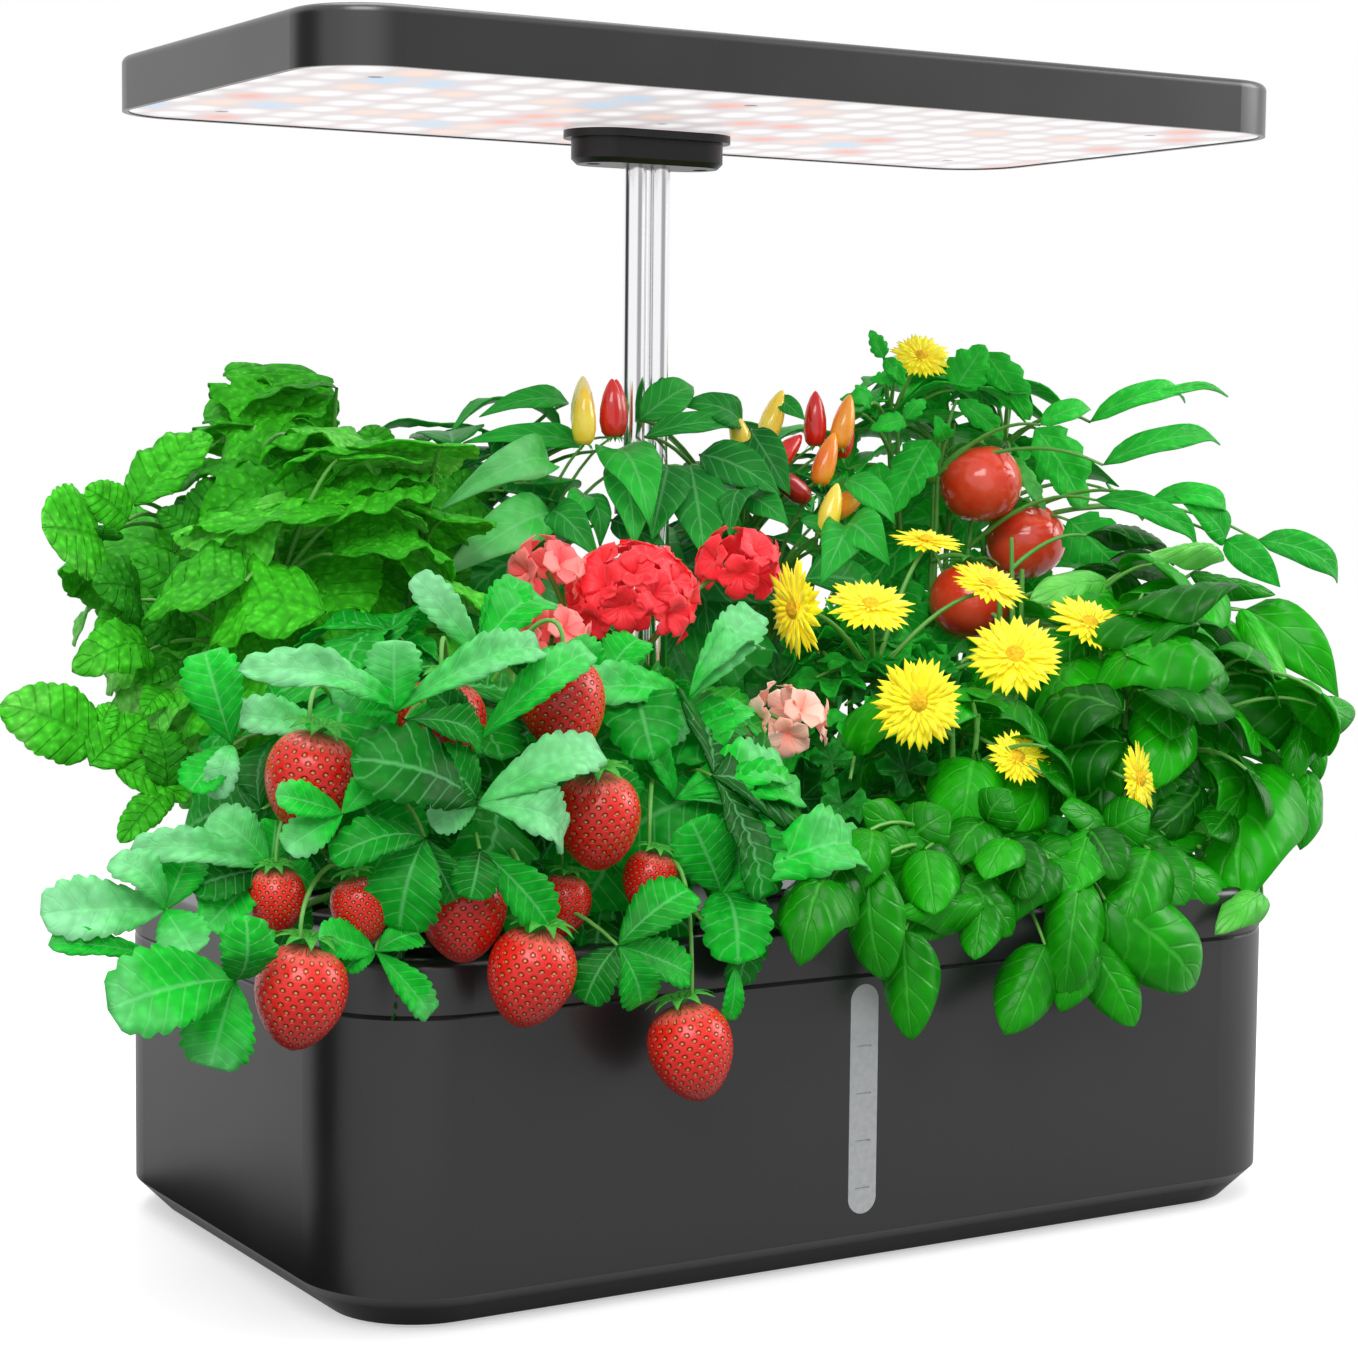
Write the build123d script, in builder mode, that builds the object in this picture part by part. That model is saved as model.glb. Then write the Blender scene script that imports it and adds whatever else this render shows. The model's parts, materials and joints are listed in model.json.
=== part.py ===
from build123d import *
import os
from math import atan2, cos, pi, sin, sqrt

os.makedirs("parts", exist_ok=True)

# Countertop hydroponic garden. X is the long side, Y runs from the front to the back, Z is up.
# The origin is the middle of the tank's footprint on the worktop. All sizes are in millimetres.

# ---------------------------------------------------------------- driving sizes: tank and lid
tank_length = 400.0
tank_width = 230.0
tank_corner = 42.0
tank_wall = 2.5
underside_height = 1.5
foot_bevel = 12.0
seam_height = 105.8
lid_height = 18.4
seam_groove = 0.8

foot_radius = 9.0
foot_height = 3.0
foot_clearance = 0.2
foot_spacing_x = 300.0
foot_spacing_y = 140.0

window_width = 12.0
window_low = 20.7
window_high = 102.8
window_x = -5.0
window_lip = 2.5
window_thickness = 2.0
window_clearance = 0.15
gasket_thickness = 1.0
level_mark_pitch = 16.9
level_mark_low = 29.9
level_mark_count = 4
level_mark_depth = 0.4
level_mark_height = 0.8
level_mark_length = 6.0

lid_rim_width = 6.0
lid_rim_round = 3.0
deck_recess = 2.0
deck_thickness = 2.5
tongue_clearance = 0.5
tongue_thickness = 1.8
tongue_depth = 5.0
rib_height = 8.0
rib_thickness = 2.0

# ---------------------------------------------------------------- driving sizes: planting pods
pod_columns = (-148.0, -66.0, 66.0, 148.0)
pod_rows = (-70.0, -2.0, 66.0)
basket_radius = 20.0
basket_foot_radius = 15.0
basket_depth = 62.0
basket_wall = 1.4
basket_lip = 3.0
basket_lip_thickness = 2.0
basket_fit = 0.3
basket_window_width = 7.0
basket_window_height = 34.0
basket_sides = 12
basket_lip_sides = 24
sponge_height = 30.0

# ---------------------------------------------------------------- driving sizes: refill hatch
hatch_y = -62.0
hatch_length = 50.0
hatch_width = 32.0
hatch_thickness = 2.0
hatch_sunk = 1.5
hatch_corner = 3.0
hatch_clearance = 0.4
hatch_ledge = 3.0
hatch_frame = 2.0
knuckle_radius = 2.2
knuckle_length = 30.0
knuckle_gap = 0.3
knuckle_rise = 1.0
ear_width = 5.7
hatch_pin_radius = 1.0
hatch_pin_fit = 0.03
hatch_running_fit = 0.06
hatch_neck = 2.8

# ---------------------------------------------------------------- driving sizes: mast and console
mast_y = 50.0
tube_pitch = 10.6
sleeve_radius = 5.2
sleeve_bore = 4.7
rod_radius = 4.5
rod_bore = 3.7
glide_radius = 4.65
glide_length = 10.0
glide_stem = 8.0
glide_fit = 0.05
rod_fit = 0.06
sleeve_fit = 0.05
lamp_drop = 60.0
mast_floor_gap = 1.0
collar_base = 262.0
collar_grip = 6.0
collar_top = 8.0
collar_length = 25.0
collar_width = 14.0
collar_bevel = 1.0

console_length = 82.0
console_width = 40.0
console_height = 14.0
console_wall = 2.0
console_bevel = 1.5
tower_length = 30.0
tower_width = 18.0
tower_rise = 10.0
tower_bevel = 1.5
button_x = 28.0
button_radius = 6.0
button_clearance = 0.3
button_proud = 1.5
button_flange = 1.5
button_flange_thickness = 1.8
button_travel = 1.2
button_stem_radius = 1.5
button_stem_gap = 0.1
button_bevel = 0.5
board_thickness = 1.6
board_height = 4.0
board_margin = 2.0
board_tower_gap = 1.0
board_post_radius = 2.5
board_post_x = 28.0
board_post_y = 10.0
switch_side = 6.0
switch_height = 1.7
lens_y = -13.0
lens_radius = 1.6
lens_fit = 0.05
lens_proud = 0.4

screw_shank_radius = 1.25
screw_head_radius = 2.8
screw_head_height = 2.0
screw_fit = 0.05
screw_bite = 12.0
console_screw_y = 7.2

socket_x = 120.0
socket_height = 114.0
socket_bore = 2.9
socket_bore_depth = 9.5
socket_nose = 3.9
socket_nose_fit = 0.2
socket_body = (14.0, 13.0, 11.0)

# ---------------------------------------------------------------- driving sizes: pump
pump_length = 46.0
pump_width = 40.0
pump_corner = 6.0
pump_base = 20.0
pump_height = 32.0
pump_cover_thickness = 4.0
pump_y = 45.0
volute_radius = 13.2
volute_height = 10.0
volute_channel = 4.0
channel_floor = 1.0
rotor_radius = 7.0
rotor_gap = 0.6
rotor_well = 19.0
shaft_radius = 1.5
shaft_fit = 0.05
impeller_radius = 11.0
impeller_disc = 2.0
blade_count = 6
blade_thickness = 1.2
inlet_radius = 2.2
inlet_ring = 6.5
inlet_count = 6
filter_thickness = 6.0
filter_margin = 2.0
riser_x = 17.0
riser_radius = 4.0
riser_bore = 3.0
riser_seat = 5.0
riser_fit = 0.05
nozzle_radius = 9.0
nozzle_height = 11.7
nozzle_chamber = 6.5
nozzle_port = 1.6
hanger_x = 31.0
hanger_radius = 4.0
hanger_ear_radius = 5.0
hanger_ear_thickness = 5.0
lead_x = -18.0
lead_y = 58.0
lead_radius = 1.8
lead_clearance = 0.4

# ---------------------------------------------------------------- driving sizes: lamp
lamp_length = 404.0
lamp_width = 203.0
lamp_corner = 28.0
lamp_thickness = 20.0
lamp_underside = 409.3
lamp_y = 5.6
lamp_wall = 2.2
lamp_top_round = 3.0
diffuser_thickness = 1.5
diffuser_sunk = 0.5
diffuser_clearance = 0.3
diffuser_post_radius = 4.5
board_gap_above = 4.2
led_board_thickness = 1.6
led_board_margin = 10.0
led_board_corner = 20.0
led_side = 3.0
led_height = 0.9
led_pitch_x = 29.0
led_pitch_y = 36.0
led_columns = 12
led_rows = 5
lamp_post_radius = 5.0
lamp_screw_head = 1.2
lamp_screw_points = ((-168, -60), (-168, 72), (-22, -60), (-14, 15), (160, -60), (160, 72))
bracket_length = 70.0
bracket_width = 34.0
bracket_lip = 3.0
bracket_body_height = 9.8
bracket_step = 3.0
bracket_bevel = 2.0
bracket_screw_x = 24.0
bracket_screw_recess = 4.0
rod_seat_depth = 10.0

# ---------------------------------------------------------------- driving sizes: plants
leaf_thickness = 1.2
leaf_stalk_width = 2.2
stem_radius = 2.6
fruit_stalk = 1.8
soft_gap = 0.3
blade_shoulder = 0.4  # where a blade is widest, as a share of its length
hanging_width = 30.0  # of the leaves that hang in front of the tank
leaf_roll = 0.6  # high leaves are rolled this far, one way and the other, in radians
inner_dome = 0.62  # one leaf in three ends on a smaller dome inside the first
leaf_rise = 0.45  # how far a leaf's tip is above its foot, as a share of its reach
leaf_steps = 24  # places along a leaf that are tried for obstacles, the first few left out
leaf_steps_skipped = 6
leaf_lid_gap = 8.0  # of the lowest leaves above the lid's rim
leaf_level_height = 40.0  # leaves lower than this above the rim lie level
leaf_lid_margin = 6.0
leaf_hatch_margin = 5.0
leaf_hatch_gap = 12.0
console_reach = 22.0  # half width that leaves keep clear along the console
berry_gap = 4.0  # of leaves round a berry
fruit_gap = 1.0  # of leaves round other fruit and flowers
golden_angle = pi * (3 - sqrt(5))

# ---------------------------------------------------------------- heights worked out from them
rim_top = seam_height + lid_height
deck_top = rim_top - deck_recess
deck_underside = deck_top - deck_thickness
tank_floor = underside_height + tank_wall
skirt_wall = tank_wall + tongue_clearance + tongue_thickness
console_top = deck_top + console_height
tower_top = console_top + tower_rise
sleeve_top = collar_base + collar_grip
glide_base = deck_top + lamp_drop + mast_floor_gap
rod_base = glide_base + glide_length
diffuser_base = lamp_underside + diffuser_sunk
diffuser_top = diffuser_base + diffuser_thickness
lamp_top = lamp_underside + lamp_thickness
led_board_top = lamp_top - lamp_wall - board_gap_above
led_board_base = led_board_top - led_board_thickness
bracket_base = diffuser_base - bracket_lip - bracket_body_height
pump_top = pump_base + pump_height
pods = [(x, y) for y in pod_rows for x in pod_columns]
# a foot near each corner, and one in the middle that keeps the wide floor from sagging
foot_places = [(0, 0)] + [
    (side * foot_spacing_x / 2, end * foot_spacing_y / 2) for side in (-1, 1) for end in (-1, 1)
]
tube_places = ((-tube_pitch / 2, mast_y), (tube_pitch / 2, mast_y))


def save(part, name):
    """Label a finished piece and write it as its own STEP file."""
    part.label = name
    export_step(part, f"parts/{name}.step")


# ================================================================ tank and what stays with it
with BuildPart() as tank:
    with BuildSketch(Plane.XY.offset(underside_height)):
        RectangleRounded(tank_length, tank_width, tank_corner)
    extrude(amount=seam_height - underside_height)
    chamfer(tank.edges().group_by(Axis.Z)[0], length=foot_bevel)
    offset(amount=-tank_wall, openings=tank.faces().sort_by(Axis.Z)[-1])
    chamfer(tank.faces().sort_by(Axis.Z)[-1].outer_wire().edges(), length=seam_groove)
    # pads inside the floor give the foot pockets their depth
    with BuildSketch(Plane.XY.offset(tank_floor - tank_wall / 2)):
        with Locations(*foot_places):
            Circle(foot_radius + tank_wall)
    extrude(amount=tank_wall / 2 + foot_height / 2)
    with BuildSketch(Plane.XY.offset(underside_height)):
        with Locations(*foot_places):
            Circle(foot_radius + foot_clearance)
    extrude(amount=foot_height - underside_height, mode=Mode.SUBTRACT)
    # slot for the water level window
    with BuildSketch(Plane.XZ.offset(tank_width / 2)):
        with Locations((window_x, (window_low + window_high) / 2)):
            SlotOverall(window_high - window_low, window_width, rotation=90)
    extrude(amount=-2 * tank_wall, mode=Mode.SUBTRACT)
save(tank.part, "tank")

with BuildPart() as rubber_feet:
    with BuildSketch(Plane.XY):
        with Locations(*foot_places):
            Circle(foot_radius)
    extrude(amount=foot_height)
    chamfer(rubber_feet.edges().group_by(Axis.Z)[0], length=foot_height / 4)
save(rubber_feet.part, "rubber_feet")

window_centre = (window_x, (window_low + window_high) / 2)
window_inside = tank_width / 2 - tank_wall
with BuildPart() as window_gasket:
    with BuildSketch(Plane.XZ.offset(window_inside)):
        with Locations(window_centre):
            SlotOverall(window_high - window_low + 2 * window_lip, window_width + 2 * window_lip, rotation=90)
            SlotOverall(window_high - window_low, window_width, rotation=90, mode=Mode.SUBTRACT)
    extrude(amount=-gasket_thickness)
save(window_gasket.part, "window_gasket")

with BuildPart() as level_window:
    with BuildSketch(Plane.XZ.offset(window_inside - gasket_thickness)):
        with Locations(window_centre):
            SlotOverall(window_high - window_low + 2 * window_lip, window_width + 2 * window_lip, rotation=90)
    extrude(amount=-window_thickness)
    with BuildSketch(Plane.XZ.offset(window_inside - gasket_thickness)):
        with Locations(window_centre):
            SlotOverall(
                window_high - window_low - 2 * window_clearance,
                window_width - 2 * window_clearance,
                rotation=90,
            )
    extrude(amount=gasket_thickness + tank_wall)
    with BuildSketch(Plane.XZ.offset(tank_width / 2)):
        for mark in range(level_mark_count):
            with Locations((window_x, level_mark_low + mark * level_mark_pitch)):
                Rectangle(level_mark_length, level_mark_height)
    extrude(amount=-level_mark_depth, mode=Mode.SUBTRACT)
save(level_window.part, "level_window")

# ================================================================ lid with its deck
hatch_axis_y = hatch_y + hatch_width / 2 + hatch_neck
hatch_axis_z = deck_top + knuckle_rise
with BuildPart() as deck:
    with BuildSketch(Plane.XY.offset(seam_height)):
        RectangleRounded(tank_length, tank_width, tank_corner)
    extrude(amount=lid_height)
    fillet(deck.edges().group_by(Axis.Z)[-1], radius=lid_rim_round)
    chamfer(deck.edges().group_by(Axis.Z)[0], length=seam_groove)
    with BuildSketch(Plane.XY.offset(rim_top)):
        RectangleRounded(
            tank_length - 2 * lid_rim_width, tank_width - 2 * lid_rim_width, tank_corner - lid_rim_width
        )
    extrude(amount=-deck_recess, mode=Mode.SUBTRACT)
    with BuildSketch(Plane.XY.offset(seam_height)):
        RectangleRounded(tank_length - 2 * skirt_wall, tank_width - 2 * skirt_wall, tank_corner - skirt_wall)
    extrude(amount=deck_underside - seam_height, mode=Mode.SUBTRACT)
    # tongue that drops inside the tank's rim
    with BuildSketch(Plane.XY.offset(seam_height - tongue_depth)):
        RectangleRounded(
            tank_length - 2 * (tank_wall + tongue_clearance),
            tank_width - 2 * (tank_wall + tongue_clearance),
            tank_corner - tank_wall - tongue_clearance,
        )
        RectangleRounded(
            tank_length - 2 * skirt_wall,
            tank_width - 2 * skirt_wall,
            tank_corner - skirt_wall,
            mode=Mode.SUBTRACT,
        )
    extrude(amount=tongue_depth + seam_groove + 1)
    # notch in the tongue that passes the window's lip
    with BuildSketch(Plane.XY.offset(seam_height - tongue_depth)):
        with Locations((window_x, skirt_wall - tank_width / 2)):
            Rectangle(window_width + 4 * window_lip, 2 * skirt_wall)
    extrude(amount=tongue_depth, mode=Mode.SUBTRACT)
    # stiffening ribs between the pods, the frame under the hatch, and the two pump hangers
    rib_x = (pod_columns[2] + pod_columns[3]) / 2
    rib_rows = [(pod_rows[i] + pod_rows[i + 1]) / 2 for i in range(2)]
    with BuildSketch(Plane.XY.offset(deck_underside)):
        with Locations(*[(0, y) for y in rib_rows]):
            Rectangle(tank_length - 2 * skirt_wall + 1, rib_thickness)
        with Locations((-rib_x, 0), (rib_x, 0)):
            Rectangle(rib_thickness, tank_width - 2 * skirt_wall + 1)
    extrude(amount=-rib_height)
    with BuildSketch(Plane.XY.offset(deck_underside)):
        with Locations((0, hatch_y)):
            RectangleRounded(hatch_length + 6, hatch_width + 6, hatch_corner + 3)
        with Locations((0, hatch_axis_y)):
            Rectangle(knuckle_length + 2 * ear_width, 2 * knuckle_radius + 4)
    extrude(amount=-hatch_frame)
    with BuildSketch(Plane.XY.offset(pump_top)):
        with Locations((-hanger_x, pump_y), (hanger_x, pump_y)):
            Circle(hanger_radius)
    extrude(amount=deck_underside - pump_top)
    # pod holes
    with BuildSketch(Plane.XY.offset(deck_top)):
        with Locations(*pods):
            Circle(basket_radius + basket_fit)
    extrude(amount=-deck_thickness, mode=Mode.SUBTRACT)
    # hatch: sunk seat, refill hole and the pocket under the hinge barrel
    with BuildSketch(Plane.XY.offset(deck_top)):
        with Locations((0, hatch_y)):
            RectangleRounded(
                hatch_length + 2 * hatch_clearance,
                hatch_width + 2 * hatch_clearance,
                hatch_corner + hatch_clearance,
            )
        with Locations((0, hatch_axis_y)):
            Rectangle(knuckle_length + 2 * knuckle_gap, 2 * (knuckle_radius + hatch_clearance))
    extrude(amount=-hatch_sunk, mode=Mode.SUBTRACT)
    with BuildSketch(Plane.XY.offset(deck_top)):
        with Locations((0, hatch_y)):
            RectangleRounded(hatch_length - 2 * hatch_ledge, hatch_width - 2 * hatch_ledge, hatch_corner)
    extrude(amount=-deck_thickness - hatch_frame, mode=Mode.SUBTRACT)
    # hinge ears, one at each end of the barrel
    for side in (-1, 1):
        ear_inner = side * (knuckle_length / 2 + knuckle_gap)
        with BuildSketch(Plane.YZ.offset(ear_inner)):
            with Locations((hatch_axis_y, hatch_axis_z)):
                Circle(knuckle_radius)
            with Locations((hatch_axis_y, deck_top - hatch_sunk / 2)):
                Rectangle(2 * knuckle_radius, hatch_sunk + 2 * knuckle_rise)
        extrude(amount=side * ear_width)
        with BuildSketch(Plane.YZ.offset(ear_inner)):
            with Locations((hatch_axis_y, hatch_axis_z)):
                Circle(hatch_pin_radius + hatch_pin_fit)
        extrude(amount=side * ear_width, mode=Mode.SUBTRACT)
    # posts for the control board, pilot holes of the pump hangers, holes for screws, lead and socket
    with BuildSketch(Plane.XY.offset(deck_top)):
        with Locations((0, mast_y)):
            with GridLocations(2 * board_post_x, 2 * board_post_y, 2, 2):
                Circle(board_post_radius)
    extrude(amount=board_height)
    with BuildSketch(Plane.XY.offset(deck_underside)):
        with Locations((0, mast_y - console_screw_y), (0, mast_y + console_screw_y)):
            Circle(screw_shank_radius + screw_fit)
        with Locations((lead_x, lead_y)):
            Circle(lead_radius + lead_clearance)
    extrude(amount=deck_thickness, mode=Mode.SUBTRACT)
    with BuildSketch(Plane.XY.offset(pump_top)):
        with Locations((-hanger_x, pump_y), (hanger_x, pump_y)):
            Circle(screw_shank_radius + screw_fit)
    extrude(amount=screw_bite, mode=Mode.SUBTRACT)
    with BuildSketch(Plane.XZ.offset(-tank_width / 2)):
        with Locations((socket_x, socket_height)):
            Circle(socket_nose + socket_nose_fit)
    extrude(amount=skirt_wall, mode=Mode.SUBTRACT)
save(deck.part, "deck")

# ================================================================ grow baskets and sponges
basket_taper = atan2((basket_radius - basket_foot_radius) * cos(pi / basket_sides), basket_depth) * 180 / pi
with BuildPart() as basket_form:
    with BuildSketch(Plane.XY.offset(-basket_depth)):
        RegularPolygon(basket_foot_radius, basket_sides)
    extrude(amount=basket_depth, taper=-basket_taper)
    with BuildSketch(Plane.XY):
        RegularPolygon(basket_radius + basket_lip, basket_lip_sides)
    extrude(amount=basket_lip_thickness)
    with BuildSketch(Plane.XY.offset(basket_wall - basket_depth)):
        RegularPolygon(basket_foot_radius - basket_wall, basket_sides)
    extrude(amount=basket_depth + basket_lip_thickness - basket_wall, taper=-basket_taper, mode=Mode.SUBTRACT)
    # two crossed pairs of root windows
    for turn in (0, 90):
        with BuildSketch(Plane.XZ.rotated((0, 0, turn)).offset(-basket_radius)):
            with Locations((0, -basket_depth / 2 - basket_wall)):
                Rectangle(basket_window_width, basket_window_height)
        extrude(amount=2 * basket_radius, mode=Mode.SUBTRACT)

for number, (pod_x, pod_y) in enumerate(pods, start=1):
    with BuildPart() as basket:
        with Locations((pod_x, pod_y, deck_top)):
            add(basket_form.part)
    save(basket.part, f"basket_{number:02d}")

# each sponge plugs the basket just under its lip, where the taper holds it
basket_slope = (basket_radius - basket_foot_radius) / basket_depth
basket_flat = cos(pi / basket_sides)
sponge_radius = (basket_radius - basket_wall - basket_slope * sponge_height) * basket_flat - soft_gap
with BuildPart() as grow_sponges:
    with Locations(*[(x, y, deck_top - sponge_height / 2) for x, y in pods]):
        Cylinder(sponge_radius, sponge_height)
save(grow_sponges.part, "grow_sponges")

# ================================================================ mast: sleeves, rods, glides, collar
for side_name, (tube_x, tube_y) in zip(("left", "right"), tube_places):
    with BuildPart() as mast_sleeve:
        with BuildSketch(Plane.XY.offset(deck_top)):
            with Locations((tube_x, tube_y)):
                Circle(sleeve_radius)
                Circle(sleeve_bore, mode=Mode.SUBTRACT)
        extrude(amount=sleeve_top - deck_top)
    save(mast_sleeve.part, f"mast_sleeve_{side_name}")

    with BuildPart() as inner_rod:
        with BuildSketch(Plane.XY.offset(rod_base)):
            with Locations((tube_x, tube_y)):
                Circle(rod_radius)
                Circle(rod_bore, mode=Mode.SUBTRACT)
        extrude(amount=bracket_base + rod_seat_depth - rod_base)
    save(inner_rod.part, f"inner_rod_{side_name}")

with BuildPart() as rod_glides:
    with BuildSketch(Plane.XY.offset(glide_base)):
        with Locations(*tube_places):
            Circle(glide_radius)
    extrude(amount=glide_length)
    with BuildSketch(Plane.XY.offset(rod_base)):
        with Locations(*tube_places):
            Circle(rod_bore - glide_fit)
    extrude(amount=glide_stem)
save(rod_glides.part, "rod_glides")

with BuildPart() as mast_collar:
    with BuildSketch(Plane.XY.offset(collar_base)):
        with Locations((0, mast_y)):
            SlotOverall(collar_length, collar_width)
    extrude(amount=collar_grip + collar_top)
    chamfer(mast_collar.edges().group_by(Axis.Z)[-1], length=collar_bevel)
    with BuildSketch(Plane.XY.offset(collar_base)):
        with Locations(*tube_places):
            Circle(sleeve_radius + sleeve_fit)
    extrude(amount=collar_grip, mode=Mode.SUBTRACT)
    with BuildSketch(Plane.XY.offset(sleeve_top)):
        with Locations(*tube_places):
            Circle(rod_radius + rod_fit)
    extrude(amount=collar_top, mode=Mode.SUBTRACT)
save(mast_collar.part, "mast_collar")

# ================================================================ console, its board and buttons
console_inner_top = console_top - console_wall
with BuildPart() as console:
    with BuildSketch(Plane.XY.offset(deck_top)):
        with Locations((0, mast_y)):
            SlotOverall(console_length, console_width)
    extrude(amount=console_height)
    chamfer(console.edges().group_by(Axis.Z)[-1], length=console_bevel)
    with BuildSketch(Plane.XY.offset(deck_top)):
        with Locations((0, mast_y)):
            SlotOverall(console_length - 2 * console_wall, console_width - 2 * console_wall)
    extrude(amount=console_height - console_wall, mode=Mode.SUBTRACT)
    with BuildSketch(Plane.XY.offset(deck_top)):
        with Locations((0, mast_y)):
            SlotOverall(tower_length, tower_width)
    extrude(amount=tower_top - deck_top)
    chamfer(console.edges().group_by(Axis.Z)[-1], length=tower_bevel)
    with BuildSketch(Plane.XY.offset(deck_top)):
        with Locations(*tube_places):
            Circle(sleeve_radius + sleeve_fit)
    extrude(amount=tower_top - deck_top, mode=Mode.SUBTRACT)
    with BuildSketch(Plane.XY.offset(deck_top)):
        with Locations((0, mast_y - console_screw_y), (0, mast_y + console_screw_y)):
            Circle(screw_shank_radius + screw_fit)
    extrude(amount=screw_bite, mode=Mode.SUBTRACT)
    with BuildSketch(Plane.XY.offset(console_inner_top)):
        with Locations((-button_x, mast_y), (button_x, mast_y)):
            Circle(button_radius + button_clearance)
        with Locations((0, mast_y + lens_y)):
            Circle(lens_radius + lens_fit)
    extrude(amount=console_wall, mode=Mode.SUBTRACT)
save(console.part, "console")

with BuildPart() as console_screws:
    with BuildSketch(Plane.XY.offset(deck_underside)):
        with Locations((0, mast_y - console_screw_y), (0, mast_y + console_screw_y)):
            Circle(screw_head_radius)
    extrude(amount=-screw_head_height)
    with BuildSketch(Plane.XY.offset(deck_underside)):
        with Locations((0, mast_y - console_screw_y), (0, mast_y + console_screw_y)):
            Circle(screw_shank_radius)
    extrude(amount=deck_thickness + screw_bite - 1)
save(console_screws.part, "console_screws")

board_base = deck_top + board_height
board_top = board_base + board_thickness
board_length = console_length - 2 * (console_wall + board_margin)
board_width = console_width - 2 * (console_wall + board_margin)
with BuildPart() as control_board:
    with BuildSketch(Plane.XY.offset(board_base)):
        with Locations((0, mast_y)):
            SlotOverall(board_length, board_width)
            SlotOverall(
                tower_length + 2 * board_tower_gap, tower_width + 2 * board_tower_gap, mode=Mode.SUBTRACT
            )
    extrude(amount=board_thickness)
    with BuildSketch(Plane.XY.offset(board_top)):
        with Locations((-button_x, mast_y), (button_x, mast_y)):
            Rectangle(switch_side, switch_side)
    extrude(amount=switch_height)
save(control_board.part, "control_board")

with BuildPart() as status_lens:
    with BuildSketch(Plane.XY.offset(board_top)):
        with Locations((0, mast_y + lens_y)):
            Circle(lens_radius)
    extrude(amount=console_top + lens_proud - board_top)
save(status_lens.part, "status_lens")

for button_name, button_side in (("light_button", -1), ("pump_button", 1)):
    stem_base = board_top + switch_height + button_travel + button_stem_gap
    with BuildPart() as button:
        with BuildSketch(Plane.XY.offset(console_inner_top)):
            with Locations((button_side * button_x, mast_y)):
                Circle(button_radius)
        extrude(amount=console_wall + button_proud)
        chamfer(button.edges().group_by(Axis.Z)[-1], length=button_bevel)
        with BuildSketch(Plane.XY.offset(console_inner_top)):
            with Locations((button_side * button_x, mast_y)):
                Circle(button_radius + button_flange)
        extrude(amount=-button_flange_thickness)
        with BuildSketch(Plane.XY.offset(stem_base)):
            with Locations((button_side * button_x, mast_y)):
                Circle(button_stem_radius)
        extrude(amount=console_inner_top - stem_base)
    save(button.part, button_name)

# power inlet, pushed into the lid's back wall from inside
with BuildPart() as power_inlet:
    inlet_y = tank_width / 2 - skirt_wall
    with BuildSketch(Plane.XZ.offset(-inlet_y)):
        with Locations((socket_x, socket_height)):
            Rectangle(socket_body[0], socket_body[2])
    extrude(amount=socket_body[1])
    with BuildSketch(Plane.XZ.offset(-inlet_y)):
        with Locations((socket_x, socket_height)):
            Circle(socket_nose)
    extrude(amount=-(skirt_wall - socket_nose_fit))
    with BuildSketch(Plane.XZ.offset(-(tank_width / 2 - socket_nose_fit))):
        with Locations((socket_x, socket_height)):
            Circle(socket_bore)
    extrude(amount=socket_bore_depth, mode=Mode.SUBTRACT)
save(power_inlet.part, "power_inlet")

# ================================================================ refill hatch and its pin
with BuildPart() as refill_hatch:
    plate_base = deck_top - hatch_sunk
    with BuildSketch(Plane.XY.offset(plate_base)):
        with Locations((0, hatch_y)):
            RectangleRounded(hatch_length, hatch_width, hatch_corner)
        with Locations((0, hatch_axis_y - hatch_neck)):
            Rectangle(knuckle_length, 2 * hatch_neck)
    extrude(amount=hatch_thickness)
    # finger scoop at the front edge
    with BuildSketch(Plane.XY.offset(plate_base + hatch_thickness)):
        with Locations((0, hatch_y - hatch_width / 2)):
            SlotOverall(hatch_length / 3, hatch_width / 5)
    extrude(amount=-hatch_thickness / 2, mode=Mode.SUBTRACT)
    with BuildSketch(Plane.YZ.offset(-knuckle_length / 2)):
        with Locations((hatch_axis_y, hatch_axis_z)):
            Circle(knuckle_radius)
    extrude(amount=knuckle_length)
    with BuildSketch(Plane.YZ.offset(-knuckle_length / 2)):
        with Locations((hatch_axis_y, hatch_axis_z)):
            Circle(hatch_pin_radius + hatch_running_fit)
    extrude(amount=knuckle_length, mode=Mode.SUBTRACT)
save(refill_hatch.part, "refill_hatch")

pin_length = knuckle_length + 2 * (knuckle_gap + ear_width)
with BuildPart() as hatch_pin:
    with BuildSketch(Plane.YZ.offset(-pin_length / 2)):
        with Locations((hatch_axis_y, hatch_axis_z)):
            Circle(hatch_pin_radius)
    extrude(amount=pin_length)
save(hatch_pin.part, "hatch_pin")

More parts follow.
